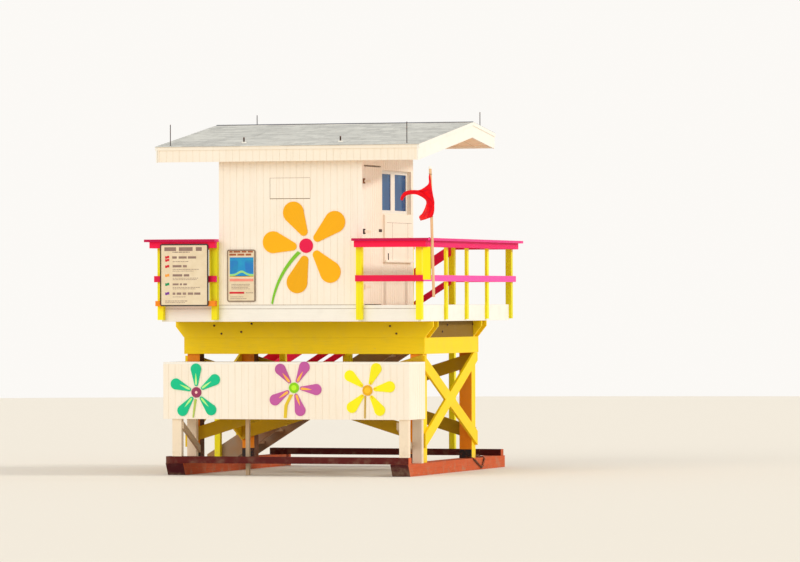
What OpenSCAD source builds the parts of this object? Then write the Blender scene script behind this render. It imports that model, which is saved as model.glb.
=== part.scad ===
// Beach lookout tower: a small boarded cabin on a raised timber deck, carried by four
// posts on two sled skids, with painted railings, a stair behind and a locker in front.
// X runs along the broad front, Y runs back towards the water, Z is up.

/* [Boards] */
// Thickness of framing boards, rails, treads and skirts
board_t = 38; // [30:1:50]
// Side of the square railing posts and the thick top rail
post_s = 89; // [70:1:120]
// Gap left where two boards of one run meet at a corner
joint_gap = 2; // [1:0.5:4]

/* [Skids] */
// Width of each skid
skid_w = 270; // [200:5:320]
// Height of each skid
skid_h = 175; // [140:5:220]
// Distance between the two skid centre lines
skid_spacing = 3400; // [3200:10:3600]
// How far the skids stand out ahead of the deck
skid_front = 220; // [180:5:280]
// How far the skids stand out behind the landing
skid_behind = 200; // [140:5:260]
// How far the underside of a skid is cut back at its front end
skid_rake = 100; // [0:5:150]
// Depth of the two cross beams, front to back
cross_d = 140; // [110:5:160]
// Height of the two cross beams
cross_h = 96; // [80:2:130]
// Length of the two cross beams
cross_len = 3670; // [3400:10:3800]
// Distance from the deck front forward to the front cross beam
cross_ahead = 60; // [40:5:70]
// How far the rear cross beam reaches in under the landing
cross_under = 10; // [0:5:40]

/* [Main frame] */
// Side of the square main posts
main_s = 190; // [150:5:220]
// Distance from the deck front back to the front posts
main_front = 600; // [580:5:700]
// Distance between front and rear posts, face to face on the same side
main_depth = 2350; // [2200:10:2450]
// Height of the underside of the girder ring
girder_z = 1735; // [1680:5:1760]
// Depth of the girder boards
girder_h = 235; // [200:5:260]
// Depth of the tapered deck beams
beam_h = 235; // [220:5:280]
// Plain upright part left at the tip of a deck beam
beam_tip = 76; // [30:2:100]
// Length of the taper under each end of a deck beam
beam_taper = 129; // [80:1:180]
// Width of the side brace boards
side_brace_w = 110; // [89:1:140]
// Width of the front and rear brace boards
end_brace_w = 190; // [140:5:220]
// Height of the lower ends of the side braces, at their middle
side_brace_z = 390; // [340:5:500]
// Height of the lower ends of the front and rear braces, at their middle
end_brace_z = 530; // [450:5:600]
// Height of the steel shoes at the post feet
shoe_h = 130; // [90:5:180]
// Thickness of the steel shoes
shoe_t = 10; // [6:1:14]

/* [Deck] */
// Width of the deck over its skirts
deck_w = 3924; // [3880:4:4000]
// Depth of the main deck over its skirts
deck_d = 3350; // [3300:10:3500]
// Depth of the landing behind the main deck
landing_d = 950; // [900:10:1000]
// Width of the landing
landing_w = 857; // [840:1:900]
// Height of the skirt boards
skirt_h = 235; // [200:5:250]
// Distance between joists
joist_step = 400; // [350:10:450]

/* [Cabin] */
// Width of the cabin
cabin_w = 2170; // [2100:10:2200]
// Depth of the cabin
cabin_d = 2370; // [2300:10:2400]
// Thickness of the cabin walls
wall_t = 90; // [75:5:110]
// Height of wall left over the door at its front edge
header_h = 140; // [100:5:200]
// Height of the ridge above the deck
ridge_h = 2670; // [2600:10:2800]
// How far the ridge lies behind the cabin's back face
ridge_behind = 50; // [0:10:100]
// Height of the back eave above the deck
back_eave_h = 2535; // [2480:5:2600]
// How far the front eave stands out ahead of the cabin
front_eave = 180; // [150:5:230]
// How far the back eave stands out behind the cabin
back_reach = 1150; // [1000:10:1250]
// Width of the roof over the rake boards
roof_w = 4000; // [3900:10:4100]
// Thickness of the roof panels, measured upright
roof_t = 190; // [140:5:200]
// Depth of the eave boards
fascia_h = 220; // [200:5:240]
// Depth of the rake boards, measured upright
rake_h = 225; // [200:5:250]
// Depth of the upper strip of the eave and rake boards
fascia_strip = 50; // [40:5:90]
// How far the upper strip stands proud of the board below it
fascia_step = 15; // [8:1:20]
// Gap left under the roof panels for seating
seat_gap = 0.2; // [0.1:0.1:0.5]
// Radius of the roof rods
rod_r = 6; // [4:0.5:9]
// Height of the front roof rods
front_rod = 310; // [250:10:400]
// Height of the rear roof rods
rear_rod = 220; // [150:10:300]
// How far the front rods stand in from the roof's ends and eave
rod_in = [210, 80];
// How far the right rear rod stands in from the roof's end, and both behind the ridge
right_rod_in = [50, 480];
// How far the left rear rod stands in from the roof's end
left_rod_in = 470; // [300:10:600]

/* [Door] */
// Width of the door leaf
door_w = 750; // [700:5:780]
// Height of the door leaf
door_h = 1970; // [1900:5:1980]
// Thickness of the door leaf
door_t = 40; // [32:1:45]
// Gap round the door leaf
door_gap = 5; // [5:1:8]
// Radius of the hinge knuckles
knuckle_r = 8; // [7:0.5:9]
// Radius of the hinge pins
pin_r = 4; // [3:0.5:5]
// Radial running clearance of the hinge pins
pin_gap = 0.08; // [0.05:0.01:0.1]
// Height of a door knuckle and its strap
strap_h = 36; // [30:1:44]
// Length of a hinge strap
strap_len = 300; // [220:10:360]
// Thickness of hinge plates and straps
strap_t = 4; // [3:0.5:5]
// Reach of the fixed hinge plates from the hinge axis
plate_len = 60; // [40:5:80]
// Heights of the hinges above the deck
hinge_heights = [260, 1050, 1770];
// Height of the hasp above the deck
hasp_h = 1050; // [900:10:1200]
// Size of the hasp plate
hasp_size = [90, 40];

/* [Windows] */
// Width of wall left between the doorway and the window
window_jamb = 60; // [50:5:100]
// Distance from a window to the outer back corner of the side walls
window_back = 100; // [95:5:130]
// Height of each window opening
window_h = 625; // [560:5:660]
// Height of the window sills above the deck
sill_h = 1320; // [1280:10:1360]
// Depth of the window recess from the wall face to the frame
recess = 60; // [35:1:65]
// Width of the window frame bars
frame_bar = 50; // [40:2:60]
// Width of the post between the two sashes
sash_post = 190; // [120:5:220]
// Thickness of the glass
glass_t = 6; // [4:1:8]
// Height of the shutter that hangs below each window
shutter_h = 685; // [640:5:720]
// How much narrower than the window the shutter is at each side
shutter_in = 30; // [0:5:50]
// Gap between the sill and the shutter
shutter_drop = 20; // [5:1:30]
// Thickness of the shutters
shutter_t = 35; // [24:1:40]
// Height of the ledge along the foot of a shutter
ledge_h = 32; // [20:2:50]
// How far the ledge stands out from its shutter
ledge_out = 18; // [10:1:30]
// Width of the vent hatch
vent_w = 600; // [500:10:700]
// Height of the vent hatch
vent_h = 290; // [240:10:320]
// Height of the vent hatch above the deck
vent_up = 1530; // [1480:10:1600]
// Thickness of the vent hatch
vent_t = 10; // [6:1:20]

/* [Locker] */
// Width of the locker
locker_w = 3720; // [3600:10:3800]
// Depth of the locker
locker_d = 730; // [650:10:760]
// How far the locker stands out ahead of the deck
locker_ahead = 230; // [215:5:238]
// Height of the underside of the locker
locker_z = 810; // [760:10:840]
// Height of the locker with its lid
locker_h = 816; // [780:4:860]
// Thickness of the locker boards
locker_t = 30; // [20:1:40]
// Width of the locker legs
leg_w = 140; // [110:5:150]
// Depth of the locker legs
leg_d = 89; // [70:1:100]
// How far the legs stand back from the locker's front
leg_in = 30; // [10:5:60]
// Place of the left legs across the front
left_leg_x = -1665; // [-1700:5:-1650]
// Place of the right legs across the front
right_leg_x = 1765; // [1700:5:1765]
// Distance from the front legs to the rear legs, face to face
leg_step = 611; // [560:1:640]
// Place of the prop stake across the front
stake_x = -640; // [-800:10:-400]
// Side of the prop stake
stake_s = 55; // [40:5:58]

/* [Railings] */
// Height of the cap board above the deck
rail_h = 950; // [900:10:1050]
// Height of the middle rail above the deck, at its middle
mid_rail_h = 380; // [330:10:450]
// Depth of the middle rail
mid_rail_d = 89; // [70:1:110]
// Width of the cap boards
cap_w = 184; // [180:2:260]
// How far the cap boards stand out from the posts at the front and sides
cap_over = 150; // [120:5:170]
// How far the cap boards stand out from the posts at the back
cap_back = 50; // [45:5:80]
// Distance from the middle of the front to the left inner post
left_post_x = 1130; // [1090:5:1200]
// Distance from the middle of the front to the right inner post
right_post_x = 1060; // [1060:5:1200]
// How far the cap boards run past the middle of the inner posts
cap_past = 62; // [50:2:90]
// Distance between the side posts
side_bay = 1000; // [950:10:1050]
// Distance from the deck front to the first side post
first_bay = 1125; // [1000:5:1200]
// Distance from the middle of the deck to the free end of the back railing
guard_x = 750; // [700:10:760]
// Distance between the posts of the back railing
guard_bay = 1330; // [1300:10:1360]
// Height of the post feet above the bottom of the skirts
post_foot = 25; // [0:5:50]

/* [Stair] */
// Number of rises from the ground to the landing
rises = 13; // [12:1:14]
// Going of each tread
tread_run = 300; // [280:5:310]
// How far each tread nosing stands forward
nosing = 25; // [15:1:35]
// Width of the stringer boards
stringer_w = 286; // [260:2:300]
// How far the stringers stand above the nosings, measured upright
stringer_over = 30; // [20:2:50]
// Height of the stair rail above the nosings, to its top edge
stair_rail_h = 930; // [880:5:935]
// Width of the upper stair rails
stair_rail_w = 140; // [110:5:150]
// Height of the lower stair rails above the nosings, at their middle
stair_mid_h = 385; // [330:5:450]
// Distance from the landing to the foot newels
newel_run = 3445; // [3350:5:3500]
// Distance between the posts on the near side of the stair
near_step = 1040; // [950:10:1050]
// Distance from the foot newel to the middle post on the far side
far_step = 1720; // [1600:10:1800]

/* [Flag] */
// Radius of the flag pole
pole_r = 20; // [15:1:25]
// Height of the pole foot above the deck
pole_foot = 110; // [60:5:200]
// Length of the pole
pole_len = 1850; // [1700:10:2000]
// Lean of the pole towards the cabin, in degrees
pole_lean = 1.5; // [0:0.1:3]
// Distance from the front edge of the cap back to the pole
pole_in = 114; // [60:2:140]
// Drop of the flag from the top of the pole
flag_drop = 80; // [60:5:150]
// Height of the flag at the pole
flag_h = 650; // [550:10:700]
// Thickness of the plain flag body
flag_t = 8; // [6:1:12]

/* [Boards and flowers] */
// Size of the framed notice on the left railing
notice_size = [738, 894];
// Place of the middle of the railing notice, across the front
notice_x = -1550; // [-1560:10:-1500]
// Gap between the railing notice and the cap board
notice_drop = 29; // [10:1:60]
// Size of the small notice on the cabin
card_size = [431, 751];
// Place of the small notice, across the front
card_x = -743; // [-800:1:-700]
// Height of the foot of the small notice above the deck
card_up = 49; // [30:1:80]
// Thickness of the notices
notice_t = 20; // [12:1:25]
// Width of the raised rim of the notices
rim_w = 18; // [12:1:24]
// Depth of the notice face behind its rim
rim_d = 4; // [2:1:8]
// Corner radius of the notices
notice_r = 30; // [20:1:40]
// Height of the batten behind the foot of the railing notice
batten_h = 76; // [50:2:100]
// Thickness of the flower cut-outs
flower_t = 12; // [8:1:18]
// Radius of the middle of the large flower
big_eye = 103; // [80:1:120]
// Gap between the middle of the large flower and its petals
big_gap = 42; // [25:1:60]
// Radius of the narrow ends of the large petals
big_root = 62; // [50:1:70]
// Radius of the broad ends of the large petals
big_tip = 157; // [130:1:165]
// Large petals: turn of the narrow end, turn of the broad end, and reach
big_petals = [[101, 112, 670], [182, 174, 660], [262, 255, 697], [321, 314, 678], [394, 398, 705]];
// Place of the large flower: across the front, and above the deck
big_place = [241, 850];
// Head and foot of the large stem, from the flower's middle
big_stem = [[-105, -91], [-519, -831]];
// Bow of the large stem
stem_bow = 71; // [40:1:100]
// Width of the large stem at its head
stem_head_w = 54; // [40:1:60]
// Width of the large stem at its foot
stem_foot_w = 26; // [16:1:40]
// Radius of the middles of the small flowers
small_eye = 75; // [60:1:90]
// Gap between the middles of the small flowers and their petals
small_gap = 14; // [8:1:24]
// Radius of the narrow ends of the small petals
small_root = 28; // [20:1:34]
// Radius of the broad ends of the small petals
small_tip = 80; // [65:1:90]
// Reach of the small flowers from their middles to their petal tips
small_reach = 415; // [380:5:420]
// Small flowers: across the front, above the locker's underside, and the turn of each petal
small_flowers = [
    [-1352, 382, [91, 159, 231, 312, 393]],
    [131, 451, [128, 211, 286, 356, 422]],
    [1236, 417, [67, 142, 226, 303, 369]]
];
// Stems of the small flowers: points from head to foot, from the flower's middle
small_stems = [
    [[-13, -98], [-50, -362]],
    [[-40, -96], [-121, -249], [-134, -431]],
    [[-34, -77], [-40, -397]]
];
// Widths of the small stems at head and foot
small_stem_w = [[36, 18], [50, 44], [22, 20]];

/* [Hidden] */
deck_z = girder_z + girder_h + beam_h + skirt_h;
skirt_z = deck_z - skirt_h;
joist_h = skirt_h - board_t;
beam_z = girder_z + girder_h;
half_w = deck_w / 2;
rail_face = half_w + board_t;
total_d = deck_d + landing_d;
landing_x = half_w - landing_w;
cross_z = skid_h + cross_h;
skid_end = total_d + skid_behind;
main_x = skid_spacing / 2;
main_out = main_x + main_s / 2;
main_back = main_front + main_depth;
cab = cabin_w / 2;
cap_z = deck_z + rail_h;
post_top = cap_z - board_t;
foot_z = skirt_z + post_foot;
mid_z = deck_z + mid_rail_h - mid_rail_d / 2;
cap_x = rail_face + cap_over;
cap_y = -post_s - cap_over;
cap_end = total_d + post_s + cap_back;
guard_end = deck_d + post_s + cap_back;

// Stair: the nosing line runs down to the left from the edge of the landing
rise = deck_z / rises;
pitch = rise / tread_run;
stair_angle = atan(pitch);
treads = rises - 1;
stair_foot = landing_x - treads * tread_run - 1.6 * nosing;
stair_near = deck_d + post_s;
newel_x = landing_x - newel_run;
function nose_z(x) = deck_z - (landing_x - x) * pitch;
function slant(w) = w / cos(stair_angle);

// Door: hung on its front edge, axis just outside the wall face
door_y0 = wall_t + door_gap;
door_y1 = door_y0 + door_w;
door_z0 = deck_z + 2 * door_gap;
door_top = door_z0 + door_h + 2 * door_gap;
opening_end = door_y1 + door_gap;
hinge_x = cab + knuckle_r + 2;
hinge_y = wall_t + door_gap / 2;

// Roof: top surface as a function of depth, with a ridge along X.
// The front slope leaves the header its height over the door
ridge_y = cabin_d + ridge_behind;
back_eave = cabin_d + back_reach;
ridge_z = deck_z + ridge_h;
back_top = deck_z + back_eave_h;
header_share = (wall_t + front_eave) / (ridge_y + front_eave);
front_top = (door_top + header_h + seat_gap + roof_t - header_share * ridge_z) / (1 - header_share);
front_rise = (ridge_z - front_top) / (ridge_y + front_eave);
back_fall = (ridge_z - back_top) / (back_eave - ridge_y);
function roof_top(y) = y < ridge_y
    ? front_top + (y + front_eave) * front_rise
    : ridge_z - (y - ridge_y) * back_fall;
function wall_top(y) = roof_top(y) - roof_t - seat_gap;

// Windows: one in each side wall and one in the back wall
sill_z = deck_z + sill_h;
window_y = opening_end + window_jamb;
window_w = cabin_d - window_back - window_y;
sash_w = (window_w - sash_post - 2 * frame_bar) / 2;
sash_h = window_h - 2 * frame_bar;

// Locker
locker_front = -locker_ahead;
leg_y = locker_front + leg_in;

// Flag pole: touches the right edge of the cap near the front corner
pole_y = cap_y + pole_in;
pole_x = cap_x + pole_r / cos(pole_lean) + 0.2;
pole_z = deck_z + pole_foot;
pole_foot_x = pole_x + (cap_z - pole_z) * tan(pole_lean);

// Notices
notice_z = post_top - notice_drop - notice_size[1];

// The part's origin is the middle of the ground rectangle round the whole tower
x_right = pole_foot_x + pole_r * cos(pole_lean);
x_left = stair_foot;
y_front = cap_y;
y_back = max(cap_end, skid_end);
centre_x = (x_right + x_left) / 2;
centre_y = (y_front + y_back) / 2;

white = "ivory";
yellow = "gold";
red = "crimson";
rust = "saddlebrown";

// Everything is drawn from the deck's front edge and moved to the origin here
module placed() {
    translate([-centre_x, -centre_y, 0]) children();
}

// A box between two corners
module bar(low, high) {
    translate(low) cube(high - low);
}

// A flat outline in Y and Z, given thickness along X from x0 to x1
module along_x(x0, x1) {
    translate([x0, 0, 0]) rotate([90, 0, 90]) linear_extrude(x1 - x0) children();
}

// A flat outline in X and Z, given thickness along Y from y0 to y1
module along_y(y0, y1) {
    translate([0, y1, 0]) rotate([90, 0, 0]) linear_extrude(y1 - y0) children();
}

// The same piece on the right and, mirrored, on the left
module both_sides() {
    children();
    mirror([1, 0, 0]) children();
}

// Outline of a slanting board with upright ends, from (a, za) to (b, zb) along its middle
module slanting_board(a, za, b, zb, width) {
    half = width / 2 * sqrt(1 + pow((zb - za) / (b - a), 2));
    polygon([[a, za - half], [b, zb - half], [b, zb + half], [a, za + half]]);
}

module skids() color(rust) placed() {
    both_sides() along_x(main_x - skid_w / 2, main_x + skid_w / 2)
        polygon([
            [skid_rake - skid_front, 0],
            [skid_end, 0],
            [skid_end, skid_h],
            [-skid_front, skid_h]
        ]);
}

module cross_beams() color(rust) placed() {
    for (y = [-cross_ahead - cross_d, total_d - cross_under])
        bar([-cross_len / 2, y, skid_h], [cross_len / 2, y + cross_d, cross_z]);
}

module main_posts() color("goldenrod") placed() {
    both_sides() for (y = [main_front, main_back])
        bar([main_out - main_s, y, skid_h], [main_out, y + main_s, skirt_z]);
}

module post_shoes() color("maroon") placed() {
    both_sides() for (y = [main_front, main_back])
        bar([main_out - main_s, y - shoe_t, skid_h], [main_out, y, skid_h + shoe_h]);
}

module cross_girders() color(yellow) placed() {
    reach = main_out + board_t;
    for (y = [main_front - board_t, main_back + main_s])
        bar([-reach, y, girder_z], [reach, y + board_t, beam_z]);
}

module side_girders() color(yellow) placed() {
    both_sides() bar([main_out, main_front, girder_z], [main_out + board_t, main_back + main_s, beam_z]);
}

module deck_beams() color(yellow) placed() {
    for (y = [main_front - board_t, main_front + main_s, main_back - board_t, main_back + main_s])
        along_y(y, y + board_t) polygon([
            [-half_w, skirt_z], [half_w, skirt_z],
            [half_w, skirt_z - beam_tip], [half_w - beam_taper, beam_z],
            [beam_taper - half_w, beam_z], [-half_w, skirt_z - beam_tip]
        ]);
}

module side_beams() color("darkgoldenrod") placed() {
    both_sides() bar([main_out, main_front + main_s + board_t, beam_z],
        [main_out + board_t, main_back - board_t, skirt_z]);
}

module deck_joists() color("burlywood") placed() {
    count = floor((half_w - 2 * board_t) / joist_step);
    for (i = [-count : count]) {
        x = i * joist_step - board_t / 2;
        y1 = (x > landing_x + board_t ? total_d : deck_d) - board_t;
        bar([x, board_t, skirt_z], [x + board_t, y1, skirt_z + joist_h]);
    }
}

module deck_floor() color("tan") placed() {
    bar([board_t - half_w, board_t, deck_z - board_t], [half_w - board_t, deck_d - board_t, deck_z]);
}

module landing_floor() color("tan") placed() {
    bar([landing_x + board_t, deck_d - board_t, deck_z - board_t],
        [half_w - board_t, total_d - board_t, deck_z]);
}

module end_skirts() color(white) placed() {
    bar([-half_w, 0, skirt_z], [half_w, board_t, deck_z]);
    bar([-half_w, deck_d - board_t, skirt_z], [landing_x + board_t, deck_d, deck_z]);
    bar([landing_x, total_d - board_t, skirt_z], [half_w, total_d, deck_z]);
}

module side_skirts() color(white) placed() {
    bar([-half_w, board_t, skirt_z], [board_t - half_w, deck_d - board_t, deck_z]);
    bar([half_w - board_t, board_t, skirt_z], [half_w, total_d - board_t, deck_z]);
    bar([landing_x, deck_d, skirt_z], [landing_x + board_t, total_d - board_t, deck_z]);
}

// Outlines of the two crossing side braces, seen from the side
side_brace_top = girder_z - side_brace_w / 2 - 10;
module rising_outline() {
    slanting_board(main_front, side_brace_z, main_back + main_s, side_brace_top, side_brace_w);
}
module falling_outline() {
    slanting_board(main_front, side_brace_top, main_back + main_s, side_brace_z, side_brace_w);
}

// The braces are half lapped where they cross
module rising_braces() color(yellow) placed() {
    both_sides() difference() {
        along_x(main_out, main_out + board_t) rising_outline();
        along_x(main_out + board_t / 2, main_out + board_t + 1) falling_outline();
    }
}

module falling_braces() color(yellow) placed() {
    both_sides() difference() {
        along_x(main_out, main_out + board_t) falling_outline();
        along_x(main_out - 1, main_out + board_t / 2) rising_outline();
    }
}

// One long brace on each face of the front and rear posts, crossing in front view
module end_braces() color("olive") placed() {
    top = girder_z - end_brace_w / 2 - 10;
    for (y = [main_front, main_back]) {
        along_y(y - board_t, y)
            slanting_board(-main_out, end_brace_z, main_out, top, end_brace_w);
        along_y(y + main_s, y + main_s + board_t)
            slanting_board(-main_out, top, main_out, end_brace_z, end_brace_w);
    }
}

// Outline of a side wall between two depths, up to the underside of the front slope
module side_outline(y0, y1) {
    polygon([[y0, deck_z], [y1, deck_z], [y1, wall_top(y1)], [y0, wall_top(y0)]]);
}

module window_hole_side() {
    bar([cab - wall_t - 1, window_y, sill_z], [cab + 1, window_y + window_w, sill_z + window_h]);
}

module front_wall() color(white) placed() {
    along_x(-cab, cab) side_outline(0, wall_t);
}

module back_wall() color(white) placed() {
    difference() {
        along_x(-cab, cab) side_outline(cabin_d - wall_t, cabin_d);
        bar([-window_w / 2, cabin_d - wall_t - 1, sill_z],
            [window_w / 2, cabin_d + 1, sill_z + window_h]);
    }
}

module left_wall() color(white) placed() {
    mirror([1, 0, 0]) difference() {
        along_x(cab - wall_t, cab) side_outline(wall_t, cabin_d - wall_t);
        window_hole_side();
    }
}

module right_wall() color(white) placed() {
    difference() {
        along_x(cab - wall_t, cab) side_outline(opening_end, cabin_d - wall_t);
        window_hole_side();
    }
}

module door_header() color(white) placed() {
    along_x(cab - wall_t, cab) polygon([
        [wall_t, door_top], [opening_end, door_top],
        [opening_end, wall_top(opening_end)], [wall_t, wall_top(wall_t)]
    ]);
}

module door_leaf() color(white) placed() {
    bar([cab - door_t, door_y0, door_z0], [cab, door_y1, door_z0 + door_h]);
}

// Straps on the leaf, each with a bored knuckle round its pin
module door_straps() color("dimgray") placed() {
    for (h = hinge_heights) translate([hinge_x, hinge_y, deck_z + h]) difference() {
        union() {
            cylinder(r = knuckle_r, h = strap_h, center = true, $fn = 40);
            bar([cab - hinge_x, 0, -strap_h / 2], [cab - hinge_x + strap_t, strap_len, strap_h / 2]);
        }
        cylinder(r = pin_r + pin_gap, h = strap_h + 2, center = true, $fn = 40);
    }
}

module door_hasp() color("dimgray") placed() {
    z = deck_z + hasp_h;
    bar([cab, door_y1 - hasp_size[0], z], [cab + strap_t, door_y1, z + hasp_size[1]]);
}

module hasp_staple() color("dimgray") placed() {
    z = deck_z + hasp_h;
    bar([cab, opening_end, z], [cab + strap_t, opening_end + hasp_size[1], z + hasp_size[1]]);
}

// Fixed plates with their knuckles and pins, on the end of the front wall
module hinge_pins() color("dimgray") placed() {
    tab_h = strap_h / 2;
    plate_y = -knuckle_r - 4;
    for (h = hinge_heights) translate([hinge_x, hinge_y, deck_z + h]) {
        cylinder(r = pin_r, h = 2 * strap_h + 2, center = true, $fn = 40);
        for (side = [-1, 1]) translate([0, 0, side * (tab_h + 1 + tab_h / 2)]) {
            cylinder(r = knuckle_r, h = tab_h, center = true, $fn = 40);
            bar([cab - hinge_x, plate_y, -tab_h / 2], [cab - hinge_x + strap_t, 0, tab_h / 2]);
        }
        bar([cab - hinge_x, -plate_len, -strap_h - 1], [cab - hinge_x + strap_t, plate_y, strap_h + 1]);
    }
}

// The two sash lights of a window, measured from its lower left corner
module sash_lights() {
    for (x = [frame_bar, frame_bar + sash_w + sash_post])
        translate([x, frame_bar]) square([sash_w, sash_h]);
}

// Puts an outline, given a thickness and set back from the wall face, in all three windows
module in_windows(back, thick) {
    both_sides() translate([0, window_y, sill_z])
        along_x(cab - back - thick, cab - back) children();
    translate([-window_w / 2, 0, sill_z])
        along_y(cabin_d - back - thick, cabin_d - back) children();
}

module window_frames() color(white) placed() {
    in_windows(recess, wall_t - recess) difference() {
        square([window_w, window_h]);
        sash_lights();
    }
}

module window_panes() color("steelblue") placed() {
    in_windows(recess + (wall_t - recess - glass_t) / 2, glass_t) sash_lights();
}

// Side view of a shutter against its wall, with a ledge along its foot
module shutter_outline() {
    top = sill_z - shutter_drop;
    polygon([
        [0, top - shutter_h], [shutter_t + ledge_out, top - shutter_h],
        [shutter_t + ledge_out, top - shutter_h + ledge_h], [shutter_t, top - shutter_h + ledge_h],
        [shutter_t, top], [0, top]
    ]);
}

module window_shutters() color(white) placed() {
    wide = window_w - 2 * shutter_in;
    both_sides() translate([cab, 0, 0])
        along_y(window_y + shutter_in, window_y + shutter_in + wide) shutter_outline();
    translate([0, cabin_d, 0]) along_x(-wide / 2, wide / 2) shutter_outline();
}

module vent_hatch() color(white) placed() {
    bar([-vent_w / 2, -vent_t, deck_z + vent_up], [vent_w / 2, 0, deck_z + vent_up + vent_h]);
}

// One slope of the roof as a slab of even upright thickness
module slope_outline(y0, y1) {
    polygon([
        [y0, roof_top(y0) - roof_t], [y1, roof_top(y1) - roof_t], [y1, roof_top(y1)], [y0, roof_top(y0)]
    ]);
}

module front_roof() color("lightgray") placed() {
    reach = roof_w / 2 - board_t;
    along_x(-reach, reach) slope_outline(board_t - front_eave, ridge_y);
}

module back_roof() color("lightgray") placed() {
    reach = roof_w / 2 - board_t;
    along_x(-reach, reach) slope_outline(ridge_y, back_eave - board_t);
}

// End view of a stepped eave board: its top strip stands proud of the board below
module eave_outline(face, inward, top) {
    polygon([
        [face, top], [face + inward * board_t, top],
        [face + inward * board_t, top - fascia_h], [face + inward * fascia_step, top - fascia_h],
        [face + inward * fascia_step, top - fascia_strip], [face, top - fascia_strip]
    ]);
}

module fascias() color(white) placed() {
    reach = roof_w / 2 - board_t;
    along_x(-reach, reach) eave_outline(-front_eave, 1, front_top);
    along_x(-reach, reach) eave_outline(back_eave, -1, back_top);
}

// Outline of a rake board of a given depth, following both slopes
module rake_outline(depth) {
    polygon([
        [-front_eave, front_top - depth], [ridge_y, ridge_z - depth], [back_eave, back_top - depth],
        [back_eave, back_top], [ridge_y, ridge_z], [-front_eave, front_top]
    ]);
}

module rakes() color(white) placed() {
    both_sides() {
        along_x(roof_w / 2 - board_t, roof_w / 2 - fascia_step) rake_outline(rake_h);
        along_x(roof_w / 2 - fascia_step, roof_w / 2) rake_outline(fascia_strip);
    }
}

// A thin rod whose foot clears the slope it stands on
module rod(x, y, length) {
    slope = y < ridge_y ? front_rise : back_fall;
    translate([x, y, roof_top(y) + rod_r * slope + seat_gap]) cylinder(r = rod_r, h = length, $fn = 16);
}

module roof_rods() color("dimgray") placed() {
    front_x = roof_w / 2 - rod_in[0];
    rear_y = ridge_y + right_rod_in[1];
    rod(-front_x, rod_in[1] - front_eave, front_rod);
    rod(front_x, rod_in[1] - front_eave, front_rod);
    rod(roof_w / 2 - right_rod_in[0], rear_y, rear_rod);
    rod(left_rod_in - roof_w / 2, rear_y, rear_rod);
}

module locker_box() color(white) placed() {
    difference() {
        bar([-locker_w / 2, locker_front, locker_z],
            [locker_w / 2, locker_front + locker_d, locker_z + locker_h - locker_t]);
        bar([locker_t - locker_w / 2, locker_front + locker_t, locker_z + locker_t],
            [locker_w / 2 - locker_t, locker_front + locker_d - locker_t, locker_z + locker_h]);
    }
}

module locker_lid() color(white) placed() {
    bar([-locker_w / 2, locker_front, locker_z + locker_h - locker_t],
        [locker_w / 2, locker_front + locker_d, locker_z + locker_h]);
}

// Front legs stand on the cross beam, rear legs on the skids
module locker_legs() color(white) placed() {
    for (x = [left_leg_x, right_leg_x]) {
        bar([x - leg_w / 2, leg_y, cross_z], [x + leg_w / 2, leg_y + leg_d, locker_z]);
        bar([x - leg_w / 2, leg_y + leg_step, skid_h],
            [x + leg_w / 2, leg_y + leg_step + leg_d, locker_z]);
    }
}

module locker_braces() color("wheat") placed() {
    low = cross_z + post_s;
    high = locker_z - post_s;
    for (x = [left_leg_x + leg_w / 2, right_leg_x - leg_w / 2 - board_t])
        along_x(x, x + board_t) slanting_board(leg_y, high, leg_y + leg_step + leg_d, low, post_s);
}

module prop_stake() color("wheat") placed() {
    bar([stake_x - stake_s / 2, -cross_ahead, 0],
        [stake_x + stake_s / 2, stake_s - cross_ahead, locker_z]);
}

// A railing post standing on its footprint corner
module rail_post(x, y, width = post_s, depth = post_s) {
    bar([x, y, foot_z], [x + width, y + depth, post_top]);
}

module rail_posts() color(yellow) placed() {
    for (x = [-rail_face, -left_post_x - post_s / 2, right_post_x - post_s / 2, rail_face - post_s])
        rail_post(x, -post_s);
    rail_post(rail_face - post_s, total_d);
    for (x = [-rail_face, guard_x - post_s - guard_bay, guard_x - post_s]) rail_post(x, deck_d);
    for (y = [first_bay : side_bay : total_d - side_bay])
        rail_post(half_w, y - post_s / 2, board_t, post_s);
    for (y = [first_bay : side_bay : deck_d - side_bay])
        rail_post(-rail_face, y - post_s / 2, board_t, post_s);
}

// Thick upper rail and thin middle rail along a side, standing out from x
module side_rails(x, y1) {
    bar([x, joint_gap - post_s, post_top - post_s], [x + post_s, y1, post_top]);
    bar([x, joint_gap - post_s, mid_z], [x + board_t, y1, mid_z + mid_rail_d]);
}

// The same pair along the front, from the corner to past an inner post
module front_rails(inner) {
    bar([inner, -2 * post_s, post_top - post_s], [rail_face + post_s, -post_s, post_top]);
    bar([inner, -post_s - board_t, mid_z], [rail_face + board_t, -post_s, mid_z + mid_rail_d]);
}

// Two equal boards along the back
module back_rails(x0, x1, y) {
    for (z = [post_top - post_s, mid_z])
        bar([x0, y + post_s, z], [x1, y + post_s + board_t, z + mid_rail_d]);
}

module rail_boards() color(red) placed() {
    front_rails(right_post_x - post_s / 2);
    mirror([1, 0, 0]) front_rails(left_post_x - post_s / 2);
    side_rails(rail_face, total_d + post_s - joint_gap);
    mirror([1, 0, 0]) side_rails(rail_face, deck_d + post_s - joint_gap);
    back_rails(landing_x - post_s, rail_face + board_t, total_d);
    back_rails(-rail_face - board_t, guard_x, deck_d);
}

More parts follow.
